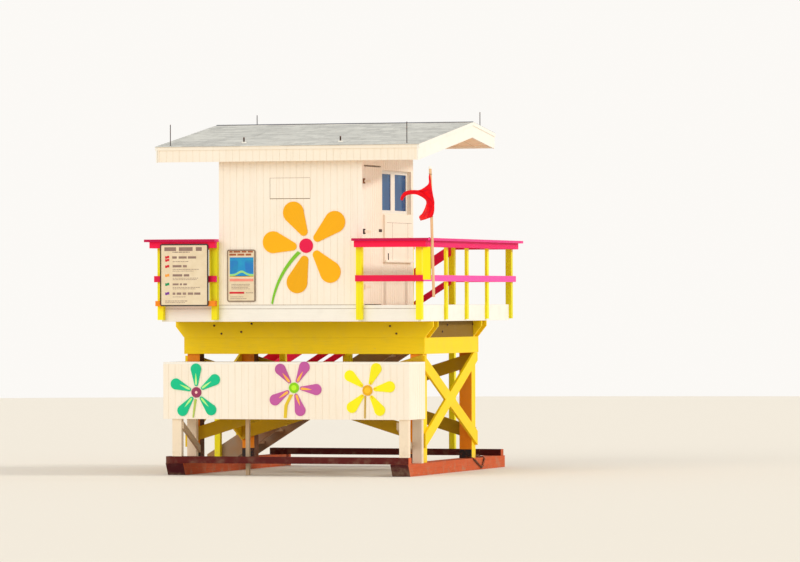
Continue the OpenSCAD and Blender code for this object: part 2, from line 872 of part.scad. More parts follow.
module cap_rails() color(red) placed() {
    side_y = cap_y + cap_w + joint_gap;
    bar([right_post_x - cap_past, cap_y, post_top], [cap_x, cap_y + cap_w, cap_z]);
    bar([-cap_x, cap_y, post_top], [cap_past - left_post_x, cap_y + cap_w, cap_z]);
    bar([cap_x - cap_w, side_y, post_top], [cap_x, cap_end - cap_w - joint_gap, cap_z]);
    bar([-cap_x, side_y, post_top], [cap_w - cap_x, guard_end - cap_w - joint_gap, cap_z]);
    bar([landing_x - cap_past - post_s / 2, cap_end - cap_w, post_top], [cap_x, cap_end, cap_z]);
    bar([-cap_x, guard_end - cap_w, post_top], [guard_x + cap_past - post_s / 2, guard_end, cap_z]);
}

// Closed stringers, cut level on the ground and upright at the landing and the foot
module stair_stringers() color("peru") placed() {
    over = stringer_over;
    deep = slant(stringer_w);
    for (y = [stair_near, total_d - board_t]) along_y(y, y + board_t) polygon([
        [landing_x, deck_z], [landing_x - over / pitch, deck_z],
        [stair_foot, nose_z(stair_foot) + over], [stair_foot, 0],
        [landing_x - (deck_z + over - deep) / pitch, 0], [landing_x, deck_z + over - deep]
    ]);
}

module stair_treads() color("peru") placed() {
    for (i = [1 : treads]) {
        x = landing_x - i * tread_run;
        z = deck_z - i * rise;
        bar([x - nosing, stair_near + board_t, z - board_t], [x + tread_run, total_d - board_t, z]);
    }
}

// A sloping rail from x0 to x1, its top edge a given height above the nosings
module stair_rail(x0, x1, y, top, width) {
    deep = slant(width);
    along_y(y, y + board_t) polygon([
        [x0, nose_z(x0) + top - deep], [x1, nose_z(x1) + top - deep],
        [x1, nose_z(x1) + top], [x0, nose_z(x0) + top]
    ]);
}

module stair_rails() color(red) placed() {
    left = newel_x - post_s / 2;
    near_right = newel_x + 2 * near_step + post_s / 2;
    far_right = landing_x - post_s / 2;
    mid_top = stair_mid_h + slant(mid_rail_d) / 2;
    stair_rail(left, near_right, stair_near, stair_rail_h, stair_rail_w);
    stair_rail(left, near_right, stair_near, mid_top, mid_rail_d);
    stair_rail(left, far_right, total_d - board_t, stair_rail_h, stair_rail_w);
    stair_rail(left, far_right, total_d - board_t, mid_top, mid_rail_d);
}

// Newels stand on the ground, the other posts hang on the stringers,
// and the head post runs from the rear cross beam up to the cap
module stair_posts() color(yellow) placed() {
    for (y = [deck_d, total_d]) bar([newel_x - post_s / 2, y, 0],
        [newel_x + post_s / 2, y + post_s, nose_z(newel_x) + stair_rail_h]);
    for (p = [[newel_x + near_step, deck_d], [newel_x + 2 * near_step, deck_d],
              [newel_x + far_step, total_d]])
        bar([p[0] - post_s / 2, p[1], nose_z(p[0]) + stringer_over - slant(stringer_w)],
            [p[0] + post_s / 2, p[1] + post_s, nose_z(p[0]) + stair_rail_h]);
    bar([landing_x - post_s, total_d, cross_z], [landing_x, total_d + post_s, post_top]);
}

// Moves what is drawn round the upright through the origin onto the leaning pole
module on_pole() {
    translate([pole_foot_x, pole_y, pole_z]) rotate([0, -pole_lean, 0]) children();
}

module flag_pole() color("bisque") placed() on_pole() cylinder(r = pole_r, h = pole_len, $fn = 32);

// Board between the rails at the corner that steadies the pole
module pole_bracket() color(yellow) placed() {
    bar([rail_face + board_t, pole_y - board_t / 2, mid_z + mid_rail_d / 4],
        [cap_x, pole_y + board_t / 2, post_top - post_s]);
}

// Outline of the hanging flag: a broad body, an upper tail blown out and a lower tail curled in
module flag_outline() {
    h = flag_h;
    polygon([
        [0, 0], [-0.05 * h, -0.22 * h], [-0.27 * h, -0.36 * h], [-0.45 * h, -0.35 * h],
        [-0.59 * h, -0.39 * h], [-0.67 * h, -0.55 * h], [-0.63 * h, -0.57 * h], [-0.52 * h, -0.46 * h],
        [-0.34 * h, -0.45 * h], [-0.14 * h, -0.55 * h], [-0.08 * h, -0.70 * h], [-0.24 * h, -0.93 * h],
        [-0.22 * h, -h], [0, -0.95 * h]
    ]);
}

// The flag body hangs beside the pole and waves to and fro along its reach
module flag() color("red") placed() on_pole() {
    steps = 12;
    reach = 0.7 * flag_h;
    near = [for (i = [0 : steps]) let (t = i / steps) [-t * reach, 25 * t * sin(t * 400)]];
    far = [for (i = [steps : -1 : 0]) let (t = i / steps) [-t * reach, 25 * t * sin(t * 400) + flag_t]];
    translate([-pole_r - seat_gap, 0, pole_len - flag_drop]) intersection() {
        translate([0, -flag_t / 2, -1.5 * flag_h]) linear_extrude(2 * flag_h) polygon(concat(near, far));
        along_y(-100, 100) flag_outline();
    }
}

// Rectangle with rounded corners, drawn from its lower left corner
module round_board(size, r) {
    translate([r, 0]) square([size[0] - 2 * r, size[1]]);
    translate([0, r]) square([size[0], size[1] - 2 * r]);
    for (x = [r, size[0] - r], y = [r, size[1] - r]) translate([x, y]) circle(r = r, $fn = 32);
}

// A notice with its back at y, its lower left corner at x and z, and a raised rim
module notice(x, y, z, size) {
    inner = [size[0] - 2 * rim_w, size[1] - 2 * rim_w];
    translate([x, 0, z]) difference() {
        along_y(y - notice_t, y) round_board(size, notice_r);
        translate([rim_w, 0, rim_w]) along_y(y - notice_t - 1, y - notice_t + rim_d)
            round_board(inner, notice_r - rim_w);
    }
}

module notices() color("beige") placed() {
    notice(notice_x - notice_size[0] / 2, -2 * post_s, notice_z, notice_size);
    notice(card_x - card_size[0] / 2, 0, deck_z + card_up, card_size);
}

// Batten across two posts that backs the foot of the railing notice
module notice_batten() color("orange") placed() {
    bar([-rail_face, -2 * post_s, notice_z], [post_s / 2 - left_post_x, -post_s, notice_z + batten_h]);
}

// Point at a turn and a reach from a flower's middle
function polar(turn, reach) = reach * [cos(turn), sin(turn)];

// One petal: a narrow and a broad round end joined by two straight sides
module petal(root, tip, root_r, tip_r) {
    run = norm(tip - root);
    lean = asin((tip_r - root_r) / run);
    side = [-sin(lean), cos(lean)];
    low = (root_r - 1) * side;
    high = (tip_r - 1) * side + [run, 0];
    translate(root) rotate(atan2(tip[1] - root[1], tip[0] - root[0])) {
        circle(r = root_r, $fn = 48);
        translate([run, 0]) circle(r = tip_r, $fn = 48);
        polygon([[low[0], -low[1]], [high[0], -high[1]], high, low]);
    }
}

// Disk whose edge passes the two ends of a run at their heights and bows out between them
module bow_disk(run, bow, foot_h, head_h) {
    chord = norm([run, head_h - foot_h]);
    r = (chord * chord / 4 + bow * bow) / (2 * bow);
    translate([0, foot_h]) rotate(atan2(head_h - foot_h, run)) translate([chord / 2, bow - r])
        circle(r = r, $fn = 160);
}

// The large stem: both its edges are parts of circles, and it narrows towards its foot
module bowed_stem() {
    head = big_stem[0];
    foot = big_stem[1];
    run = norm(head - foot);
    translate(foot) rotate(atan2(head[1] - foot[1], head[0] - foot[0])) intersection() {
        difference() {
            bow_disk(run, stem_bow, stem_foot_w / 2, stem_head_w / 2);
            bow_disk(run, stem_bow, -stem_foot_w / 2, -stem_head_w / 2);
        }
        translate([0, -2 * stem_head_w]) square([run, stem_bow + 4 * stem_head_w]);
    }
}

// A small stem: a strip down through its points, with its own width at head and foot
module strip_stem(path, widths) {
    n = len(path) - 1;
    half = [for (i = [0 : n]) (widths[0] + (widths[1] - widths[0]) * i / n) / 2];
    polygon(concat([for (i = [0 : n]) path[i] - [half[i], 0]],
        [for (i = [n : -1 : 0]) path[i] + [half[i], 0]]));
}

// Cut-outs fixed beside each other on the wall: petals, middle and stem
module cabin_flower() color("orange") placed() {
    near = big_eye + big_gap + big_root;
    translate([big_place[0], 0, deck_z + big_place[1]]) along_y(-flower_t, 0) {
        for (p = big_petals) petal(polar(p[0], near), polar(p[1], p[2] - big_tip), big_root, big_tip);
        circle(r = big_eye, $fn = 48);
        bowed_stem();
    }
}

module locker_flowers() color("mediumaquamarine") placed() {
    near = small_eye + small_gap + small_root;
    far = small_reach - small_tip;
    for (i = [0 : len(small_flowers) - 1]) let (f = small_flowers[i])
        translate([f[0], locker_front, locker_z + f[1]]) along_y(-flower_t, 0) {
            for (turn = f[2]) petal(polar(turn, near), polar(turn, far), small_root, small_tip);
            circle(r = small_eye, $fn = 48);
            strip_stem(small_stems[i], small_stem_w[i]);
        }
}

skids();
cross_beams();
main_posts();
post_shoes();
cross_girders();
side_girders();
deck_beams();
side_beams();
deck_joists();
deck_floor();
landing_floor();
end_skirts();
side_skirts();
rising_braces();
falling_braces();
end_braces();
front_wall();
left_wall();
back_wall();
right_wall();
door_header();
door_leaf();
door_straps();
door_hasp();
hinge_pins();
hasp_staple();
window_frames();
window_panes();
window_shutters();
vent_hatch();
front_roof();
back_roof();
fascias();
rakes();
roof_rods();
locker_box();
locker_lid();
locker_legs();
locker_braces();
prop_stake();
rail_posts();
rail_boards();
cap_rails();
stair_stringers();
stair_treads();
stair_rails();
stair_posts();
flag_pole();
pole_bracket();
flag();
notices();
notice_batten();
cabin_flower();
locker_flowers();
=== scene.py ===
"""Looks for the beach lookout tower: grooved white siding, painted timber, shingles and a red flag."""

import math
import random

import bmesh
import bpy
import numpy as np
from mathutils import Matrix, Vector


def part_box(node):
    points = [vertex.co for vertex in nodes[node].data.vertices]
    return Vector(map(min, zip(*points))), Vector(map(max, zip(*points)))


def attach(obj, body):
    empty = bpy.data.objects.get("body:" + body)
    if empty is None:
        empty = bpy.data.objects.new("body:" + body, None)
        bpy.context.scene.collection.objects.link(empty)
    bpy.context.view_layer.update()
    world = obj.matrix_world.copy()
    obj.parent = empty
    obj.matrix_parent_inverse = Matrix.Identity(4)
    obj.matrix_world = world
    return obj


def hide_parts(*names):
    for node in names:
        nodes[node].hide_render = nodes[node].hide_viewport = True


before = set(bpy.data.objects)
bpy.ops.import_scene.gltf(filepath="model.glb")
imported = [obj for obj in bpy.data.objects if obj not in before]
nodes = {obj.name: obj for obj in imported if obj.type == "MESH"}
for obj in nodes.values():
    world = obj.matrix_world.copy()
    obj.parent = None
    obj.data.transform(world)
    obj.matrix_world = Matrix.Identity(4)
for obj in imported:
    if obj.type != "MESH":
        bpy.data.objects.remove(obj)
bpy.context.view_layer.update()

# The drawing's own zero: the tower's centreline at the front edge of the deck
deck_low, deck_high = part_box("end_skirts")
ORIGIN = Vector(((deck_low.x + deck_high.x) / 2, deck_low.y, 0))


def at(x, y, z):
    """A point given in millimetres from the deck's front edge, in the shared frame."""
    return ORIGIN + Vector((x, y, z)) / 1000


def in_mm(point):
    """A point of the shared frame in millimetres from the deck's front edge."""
    return (Vector(point) - ORIGIN) * 1000


def srgb(red, green, blue):
    """A colour given from 0 to 255 as the linear values that shaders take."""
    def linear(v):
        v /= 255
        return v / 12.92 if v <= 0.04045 else ((v + 0.055) / 1.055) ** 2.4
    return (linear(red), linear(green), linear(blue), 1.0)


# Trees of nodes, with sockets that take part in arithmetic


class Wire:
    """An output socket that adds its own Math nodes when it is used in an expression."""

    def __init__(self, sheet, socket):
        self.sheet, self.socket = sheet, socket

    def math(self, operation, *others):
        return self.sheet.node("ShaderNodeMath", dict(enumerate((self,) + others)), operation=operation)

    def __add__(self, other): return self.math("ADD", other)
    def __radd__(self, other): return self.math("ADD", other)
    def __mul__(self, other): return self.math("MULTIPLY", other)
    def __sub__(self, other): return self.math("SUBTRACT", other)
    def __rsub__(self, other): return (self * -1) + other
    def __truediv__(self, other): return self.math("DIVIDE", other)
    def __mod__(self, other): return self.math("FLOORED_MODULO", other)
    def __gt__(self, other): return self.math("GREATER_THAN", other)
    def __abs__(self): return self.math("ABSOLUTE")

    def ramp(self, low, high):
        """0 below low, 1 above high, smooth between."""
        return self.sheet.node("ShaderNodeMapRange", {0: self, 1: low, 2: high},
                               interpolation_type="SMOOTHSTEP")

    def axis(self, name):
        """One axis of a vector."""
        return self.sheet.node("ShaderNodeSeparateXYZ", {0: self}, out=name)

    def stretched(self, x, y, z):
        return self.sheet.node("ShaderNodeVectorMath", {0: self, 1: (x, y, z)}, operation="MULTIPLY")


class Sheet:
    """A node tree that is filled by one method."""

    def __init__(self, tree):
        self.tree = tree

    def feed(self, socket, value):
        if isinstance(value, Wire):
            self.tree.links.new(value.socket, socket)
        else:
            socket.default_value = value

    def node(self, kind, values=None, out=0, **settings):
        made = self.tree.nodes.new(kind)
        for name, value in settings.items():
            setattr(made, name, value)
        for key, value in (values or {}).items():
            self.feed(made.inputs[key], value)
        return Wire(self, made.outputs[out])


class Finish(Sheet):
    """A material: a shader whose fixed values are set once, and whose look is fed by expressions."""

    def __init__(self, name, **fixed):
        self.material = bpy.data.materials.new(name)
        self.material.use_nodes = True
        super().__init__(self.material.node_tree)
        self.shader = self.tree.nodes["Principled BSDF"]
        for key, value in fixed.items():
            self.shader.inputs[key.replace("_", " ").title().replace("Ior", "IOR")].default_value = value
        self.place = self.node("ShaderNodeTexCoord", out="Object")

    def attribute(self, name, out="Vector"):
        return self.node("ShaderNodeAttribute", out=out, attribute_name=name)

    def noise(self, vector, scale, detail=3.0, rough=0.5):
        return self.node("ShaderNodeTexNoise", {"Vector": vector, "Scale": scale, "Detail": detail,
                                                "Roughness": rough}, out="Fac")

    def mix(self, share, first, second):
        """Blends two colours."""
        return self.node("ShaderNodeMix", {0: share, 6: first, 7: second}, out=2, data_type="RGBA",
                         clamp_factor=True)

    def bump(self, height, distance, strength=1.0):
        return self.node("ShaderNodeBump", {"Height": height, "Distance": distance, "Strength": strength})

    def done(self, colour, rough=None, normal=None, **more):
        self.feed(self.shader.inputs["Base Color"], colour)
        for name, value in dict(Roughness=rough, Normal=normal, **more).items():
            if value is not None:
                self.feed(self.shader.inputs[name], value)
        return self.material


# Finishes


def painted_timber(name, colour, wear=0.25, dirt=0.25, bare=(176, 150, 120), gloss=0.45, tone=0.10, low=0.6):
    """Brushed paint on dressed timber: grain, board by board tone, chips and splashed sand."""
    f = Finish(name, specular_ior_level=0.22)
    board = f.attribute("board")
    lot = f.attribute("lot", out="Fac")
    grain = f.noise(board.stretched(1.2, 26, 26), 3.0, 4.0)
    brush = f.noise(board.stretched(2.5, 90, 90), 2.0, 2.0)
    cloud = f.noise(f.place, 1.7, 3.0)
    full = srgb(*colour)
    faded = srgb(*[min(255, c * 0.93 + 10) for c in colour])
    deep = srgb(*[c * (1 - 2 * tone) for c in colour])
    coat = f.mix(cloud.ramp(0.35, 0.75) * 0.55, full, faded)
    coat = f.mix((lot * 0.6 + grain * 0.5).ramp(0.35, 1.0) * 0.5, coat, deep)
    chips = f.noise(board.stretched(5, 30, 30), 2.2, 5.0, 0.7)
    height = f.place.axis("Z")
    near_ground = 1 - height.ramp(0.0, low)
    chipped = (chips + near_ground * 0.06 * (1 + wear)).ramp(0.78 - 0.16 * wear, 0.82 - 0.16 * wear)
    timber = f.mix(grain.ramp(0.3, 0.7), srgb(*bare), srgb(*[c * 0.62 for c in bare]))
    skin = f.mix(chipped, coat, timber)
    soil = f.noise(f.place, 5.5, 5.0, 0.6).ramp(0.45, 0.75) * (near_ground * 0.5 + dirt * 0.35)
    skin = f.mix(soil, skin, srgb(168, 146, 118))
    rough = 1 - gloss + chipped * 0.3 + brush * 0.12
    relief = grain * 0.35 + brush * 0.25 - chipped * 0.5
    return f.done(skin, rough, f.bump(relief, 0.0012, 0.6))


def bright_paint(name, colour, tone=0.10, dirt=0.03, gloss=0.5, wear=0.1):
    """Fresh paint, as the cut-out flowers have."""
    return painted_timber(name, colour, wear, dirt, gloss=gloss, tone=tone)


def white_siding():
    """White paint on grooved boards: soft runs below and rusty specks."""
    f = Finish("white_siding", specular_ior_level=0.3)
    wide = f.noise(f.place, 0.9, 3.0)
    runs = f.noise(f.place.stretched(16, 16, 0.7), 1.3, 4.0)
    speck = f.noise(f.place, 60.0, 2.0)
    grain = f.noise(f.place.stretched(55, 55, 2.0), 1.0, 3.0)
    paint = f.mix(wide.ramp(0.3, 0.7) * 0.6, srgb(252, 242, 226), srgb(248, 234, 212))
    paint = f.mix(runs.ramp(0.55, 0.85) * 0.35, paint, srgb(222, 203, 176))
    paint = f.mix(speck.ramp(0.70, 0.78) * 0.25, paint, srgb(176, 142, 110))
    rough = 0.52 + runs * 0.15
    return f.done(paint, rough, f.bump(grain * 0.5 + speck * 0.3, 0.0008, 0.5))


def bare_timber(name, light, dark, grey=0.25):
    """Weathered boards with open grain, wavy rings and a silvered skin."""
    f = Finish(name, specular_ior_level=0.2)
    board = f.attribute("board")
    lot = f.attribute("lot", out="Fac")
    ring = f.node("ShaderNodeTexWave", {"Vector": board.stretched(0.35, 6, 6), "Scale": 2.2,
                                        "Distortion": 3.5, "Detail": 3.0, "Detail Scale": 1.4},
                  out="Fac", bands_direction="Y")
    grain = f.noise(board.stretched(1.5, 60, 60), 3.0, 5.0)
    skin = f.mix(ring * 0.45 + grain * 0.45, srgb(*light), srgb(*dark))
    skin = f.mix(f.noise(f.place, 2.5, 4.0).ramp(0.35, 0.75) * grey * 2, skin, srgb(168, 160, 150))
    skin = f.mix(lot * 0.3, skin, srgb(*[c * 0.7 for c in dark]))
    return f.done(skin, 0.72 + grain * 0.2, f.bump(grain * 0.7 + ring * 0.3, 0.0015, 0.7))


def shingle_finish():
    """Mineral felt shingles: speckled light grey, each tab its own shade, streaked down the slope."""
    f = Finish("roof_shingle", specular_ior_level=0.2)
    lot = f.attribute("lot", out="Fac")
    grit = f.noise(f.place, 420.0, 2.0)
    blotch = f.noise(f.place, 7.0, 4.0)
    streak = f.noise(f.place.stretched(9, 0.8, 1), 1.0, 3.0)
    skin = f.mix(lot, srgb(216, 216, 210), srgb(188, 188, 184))
    skin = f.mix(blotch.ramp(0.4, 0.8) * 0.5, skin, srgb(160, 160, 156))
    skin = f.mix(streak.ramp(0.55, 0.9) * 0.5, skin, srgb(138, 138, 134))
    skin = f.mix(grit.ramp(0.45, 0.75) * 0.55, skin, srgb(228, 232, 226))
    return f.done(skin, 0.88, f.bump(grit, 0.001, 0.6))


def steel(name, colour, rust=0.4):
    """Dull coated steel with rust bloom and fine pits."""
    f = Finish(name, metallic=0.6)
    bloom = f.noise(f.place, 34.0, 5.0, 0.65)
    pit = f.noise(f.place, 260.0, 2.0)
    skin = f.mix(bloom.ramp(0.62 - rust * 0.35, 0.78 - rust * 0.2), srgb(*colour), srgb(122, 62, 30))
    return f.done(skin, 0.45 + bloom * 0.35, f.bump(pit + bloom, 0.0006, 0.5))


def window_glass():
    f = Finish("window_glass", roughness=0.04, transmission_weight=0.2, ior=1.3, specular_ior_level=0.25)
    haze = f.noise(f.place.stretched(3, 3, 1.2), 2.0, 3.0)
    # Painted reflection: the deep blues stand for the sky mirrored in the panes
    return f.done(f.mix(haze.ramp(0.4, 0.8), srgb(10, 76, 136), srgb(24, 100, 156)), 0.04 + haze * 0.06)


def soffit_paint():
    """White paint under the roof, tinted peach as painted bounce light from the sand, sheet by sheet."""
    f = Finish("soffit_paint", specular_ior_level=0.25)
    seam = (abs(f.place.axis("X") % 0.61 - 0.305) > 0.300)
    cloud = f.noise(f.place, 1.4, 3.0)
    # Painted light: the peach tint stands for warm light bounced up from the sand
    skin = f.mix(cloud.ramp(0.3, 0.7) * 0.7, srgb(255, 228, 192), srgb(248, 214, 174))
    skin = f.mix(seam * 0.6, skin, srgb(150, 118, 90))
    return f.done(skin, 0.65, f.bump(seam * -1.0, 0.002, 0.6))


def flag_cloth():
    """Red nylon with a fine weave; noise patches of darker crimson are painted shade of the folds."""
    f = Finish("flag_cloth", sheen_weight=0.1, sheen_roughness=0.4, specular_ior_level=0.15)
    weave = f.node("ShaderNodeTexWave", {"Vector": f.node("ShaderNodeUVMap", uv_map="UVMap"),
                                         "Scale": 120.0, "Distortion": 0.4}, out="Fac")
    crease = f.noise(f.node("ShaderNodeUVMap", uv_map="UVMap").stretched(5, 9, 1), 1.6, 3.0)
    # Painted shade: the darker crimson stands for the shade in the cloth's folds
    skin = f.mix(crease.ramp(0.35, 0.7), srgb(252, 2, 14), srgb(214, 0, 32))
    return f.done(skin, 0.62, f.bump(weave * 0.4 + crease, 0.0008, 0.5))


def sign_sheet(name, colour, second, gloss=0.55):
    """Satin sheet that has been out in the sun: slightly mottled."""
    f = Finish(name, specular_ior_level=0.4)
    mottled = f.noise(f.place, 9.0, 4.0)
    fine = f.noise(f.place, 150.0, 2.0)
    skin = f.mix(mottled.ramp(0.3, 0.7) * 0.8, srgb(*colour), srgb(*second))
    return f.done(skin, 1 - gloss + mottled * 0.15, f.bump(fine, 0.0003, 0.3))


# Painted shade: the cross beams' rust red, darkened for the shade on all but their right faces
RUST_RED_SHADED = painted_timber("rust_red_timber", (88, 20, 16), wear=0.7, dirt=0.2, bare=(120, 84, 60), gloss=0.3,
                          tone=0.2, low=0.35)
# Painted shade: a dark maroon copy of the skid paint, for the skids' front and left faces
SKID_SHADE = painted_timber("maroon_ends", (72, 12, 18), wear=0.4, dirt=0.1, bare=(96, 44, 34),
                        gloss=0.3, low=0.3)
POST_SHADE = painted_timber("post_shade", (104, 60, 32), wear=0.5, dirt=0.2, bare=(130, 90, 60), gloss=0.3)
# Painted shade: the side beams' yellow darkened to olive for the shade under the deck
BEAM_SHADE = painted_timber("olive_beam", (146, 108, 18), wear=0.4, dirt=0.2, gloss=0.35, low=0.7)
# Painted sunlight: lighter pinks for the rail boards' right-facing faces, magenta on the top rail and rose
# lower down
MID_RAIL_LIT = painted_timber("sun_faded_rose", (252, 84, 172), wear=0.3, dirt=0.05, bare=(226, 170, 180), gloss=0.4)
TOP_RAIL_LIT = painted_timber("sun_faded_magenta", (252, 22, 112), wear=0.3, dirt=0.05)
# Painted shade: a darker crimson copy of the cap pink, for the caps' front faces
CAP_FRONT_SHADE = painted_timber("cap_edge", (196, 0, 72), wear=0.3, dirt=0.05, gloss=0.5)
SKID = painted_timber("skid_timber", (214, 96, 50), wear=0.6, dirt=0.2, bare=(206, 136, 92), gloss=0.25,
                      tone=0.2, low=0.3)
YELLOW = painted_timber("yellow_frame", (255, 216, 0), wear=0.5, dirt=0.2, gloss=0.5, low=0.7)
# Duller, dirtier yellow paint, also darkened as painted shade for the end braces in the shade under the deck
DULL_YELLOW_SHADE = painted_timber("dull_yellow", (206, 164, 12), wear=0.6, dirt=0.3, gloss=0.4, low=0.7)
POST_ORANGE = painted_timber("post_orange", (255, 150, 26), wear=0.7, bare=(196, 130, 84), gloss=0.35)
POST_YELLOW = painted_timber("yellow_post", (255, 242, 12), wear=0.35, dirt=0.12, gloss=0.55)
RED = painted_timber("red_rail", (252, 8, 76), wear=0.35, dirt=0.08, bare=(196, 150, 120), gloss=0.55)
PINK = painted_timber("pink_cap", (252, 54, 142), wear=0.4, dirt=0.10, bare=(206, 160, 130), gloss=0.5)
WHITE = painted_timber("white_board", (250, 245, 234), wear=0.3, dirt=0.18, gloss=0.5, tone=0.05)
LEG_WHITE = painted_timber("leg_white", (244, 226, 200), wear=0.5, dirt=0.3, gloss=0.4, tone=0.06)
SIDING = white_siding()
RAW = bare_timber("raw_timber", (228, 202, 164), (188, 154, 114))
STAIR = bare_timber("stair_timber", (198, 156, 112), (140, 100, 66), grey=0.35)
POLE = bare_timber("pole_timber", (252, 206, 156), (226, 176, 126), grey=0.05)
SHINGLE = shingle_finish()
SOFFIT = soffit_paint()
DARK = steel("dark_steel", (46, 42, 42))
BOLT = steel("bolt_steel", (58, 44, 38), rust=0.5)
HINGE_PAINT = painted_timber("hinge_paint", (244, 226, 202), wear=0.5, dirt=0.3, bare=(150, 96, 60))
HINGE_RUST = steel("hinge_rust", (176, 116, 62), rust=0.9)
CHAIN_STEEL = steel("chain_steel", (120, 96, 80), rust=0.7)
GAP_SHADE = sign_sheet("gap_shade", (138, 112, 84), (118, 94, 70), 0.3)
RIDGE_BLUE = sign_sheet("ridge_felt", (84, 94, 112), (70, 80, 98), 0.2)
GLASS = window_glass()
CLOTH = flag_cloth()
ORANGE = painted_timber("orange_batten", (250, 140, 20), wear=0.3, dirt=0.1)
PETAL = bright_paint("petal_orange", (255, 182, 0), tone=0.06)
CRIMSON_EYE = bright_paint("crimson_eye", (236, 12, 74), tone=0.08, gloss=0.55)
STEM_GREEN = bright_paint("stem_green", (128, 200, 40), dirt=0.05, wear=0.15)
TEAL = bright_paint("petal_teal", (10, 200, 142), dirt=0.04)
VIOLET = bright_paint("petal_violet", (200, 94, 166), tone=0.08, dirt=0.04)
LEMON = bright_paint("petal_lemon", (255, 244, 20), tone=0.05)
EYE_MAUVE = bright_paint("eye_mauve", (160, 60, 96), dirt=0.04)
EYE_LIME = bright_paint("eye_lime", (150, 224, 16))
EYE_AMBER = bright_paint("eye_amber", (252, 188, 14))
STEM_MOSS = bright_paint("stem_moss", (180, 204, 90), dirt=0.05, wear=0.15)
STEM_GOLD = bright_paint("stem_gold", (246, 212, 50), dirt=0.05)
STEM_OCHRE = bright_paint("stem_ochre", (206, 168, 50), dirt=0.05, wear=0.15)
PALE_DOT = sign_sheet("pale_dot", (255, 214, 206), (250, 196, 186), 0.5)
LIME_STREAK = sign_sheet("lime_streak", (176, 246, 120), (200, 250, 170), 0.5)
ORANGE_STREAK = sign_sheet("orange_streak", (255, 190, 72), (252, 172, 56), 0.5)
AMBER_STREAK = sign_sheet("amber_streak", (240, 190, 20), (226, 170, 20), 0.5)
CREAM_FACE = sign_sheet("notice_face", (238, 220, 188), (228, 208, 172), 0.5)
BLACK_RIM = sign_sheet("notice_rim", (44, 34, 30), (60, 50, 46), 0.6)
INK = sign_sheet("notice_ink", (142, 116, 104), (158, 132, 118), 0.4)
SIGN_BLUE = sign_sheet("picture_blue", (20, 120, 200), (16, 150, 190), 0.5)
SIGN_TEAL = sign_sheet("picture_teal", (10, 140, 206), (24, 160, 204), 0.5)
SIGN_RED = sign_sheet("mark_red", (222, 24, 40), (200, 20, 36), 0.5)
SIGN_GREEN = sign_sheet("mark_green", (20, 150, 90), (16, 130, 80), 0.5)
SIGN_PURPLE = sign_sheet("mark_purple", (128, 60, 160), (112, 52, 144), 0.5)
CARD_RIM = sign_sheet("card_rim", (152, 132, 112), (136, 114, 96), 0.4)
LIME_HEART = sign_sheet("lime_heart", (196, 250, 30), (180, 240, 24))
AMBER_HEART = sign_sheet("amber_heart", (255, 206, 10), (250, 190, 10))
SIGN_ORANGE = sign_sheet("mark_orange", (250, 166, 60), (240, 150, 50))
SAND = sign_sheet("picture_sand", (250, 190, 90), (244, 176, 80))
SURF = sign_sheet("picture_surf", (150, 220, 130), (190, 226, 120))
SALMON_BAR = sign_sheet("bar_salmon", (246, 150, 130), (240, 130, 110))
BROWN_PRINT = sign_sheet("print_brown", (176, 96, 52), (160, 84, 44))


# Boards: copies of the frame's solids with eased edges and a grain that follows each board


def merged_copy(name):
    """The solid of a CAD node with shared corners and whole faces, as a loose bmesh."""
    bm = bmesh.new()
    bm.from_mesh(nodes[name].data)
    bmesh.ops.remove_doubles(bm, verts=bm.verts, dist=1e-5)
    bmesh.ops.dissolve_limit(bm, angle_limit=0.01, verts=bm.verts, edges=bm.edges)
    return bm


def placed(name, data):
    """A new object in the scene."""
    made = bpy.data.objects.new(name, data)
    bpy.context.scene.collection.objects.link(made)
    return made


def as_object(bm, name, *materials):
    mesh = bpy.data.meshes.new(name)
    bm.to_mesh(mesh)
    bm.free()
    made = placed(name, mesh)
    for material in materials:
        made.data.materials.append(material)
    return made


def points_object(name, places, edges=()):
    """Loose points, given in millimetres, with the edges between them."""
    mesh = bpy.data.meshes.new(name)
    mesh.from_pydata([tuple(at(*place)) for place in places], edges, [])
    return placed(name, mesh)


def reshaped(made, change):
    """Runs change on the mesh of a piece."""
    bm = bmesh.new()
    bm.from_mesh(made.data)
    change(bm)
    bm.to_mesh(made.data)
    bm.free()
    return made


def islands(mesh):
    """Lists of vertex numbers, one for each board in a mesh."""
    parent = list(range(len(mesh.vertices)))

    def root(v):
        while parent[v] != v:
            parent[v] = parent[parent[v]]
            v = parent[v]
        return v
    for edge in mesh.edges:
        a, b = root(edge.vertices[0]), root(edge.vertices[1])
        parent[a] = b
    groups = {}
    for v in range(len(parent)):
        groups.setdefault(root(v), []).append(v)
    return list(groups.values())


def mark_boards(made, seed=1):
    """Gives each board its own run of grain, along its length, and its own shade."""
    mesh = made.data
    points = np.array([v.co for v in mesh.vertices])
    grain = np.zeros_like(points)
    lot = np.zeros(len(points))
    chance = random.Random(seed)
    for group in islands(mesh):
        own = points[group] - points[group].mean(0)
        _, axes = np.linalg.eigh(own.T @ own)
        local = own @ axes[:, ::-1]
        grain[group] = local + [chance.uniform(-9, 9) for _ in range(3)]
        lot[group] = chance.random()
    mesh.attributes.new("board", "FLOAT_VECTOR", "POINT").data.foreach_set("vector", grain.ravel())
    mesh.attributes.new("lot", "FLOAT", "POINT").data.foreach_set("value", lot)
    return made


def ease(bm, width):
    """Eases the sharp edges of closed boards."""
    sharp = [e for e in bm.edges if len(e.link_faces) == 2 and e.calc_face_angle(0) > 0.5]
    bmesh.ops.bevel(bm, geom=sharp, offset=width, segments=2, profile=0.7, affect="EDGES",
                    clamp_overlap=True)


def stands_for(made, name, body="tower"):
    """Puts a finished piece in a CAD node's place, on its body."""
    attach(made, body)
    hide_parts(name)
    return made


def eased(name, material, edge, seed):
    """Stands for a CAD node with the same boards, edges eased by so many millimetres and grain marked."""
    bm = merged_copy(name)
    ease(bm, edge / 1000)
    return stands_for(mark_boards(as_object(bm, name + "_boards", material), seed), name)


# Growing: Geometry Nodes trees with named inputs


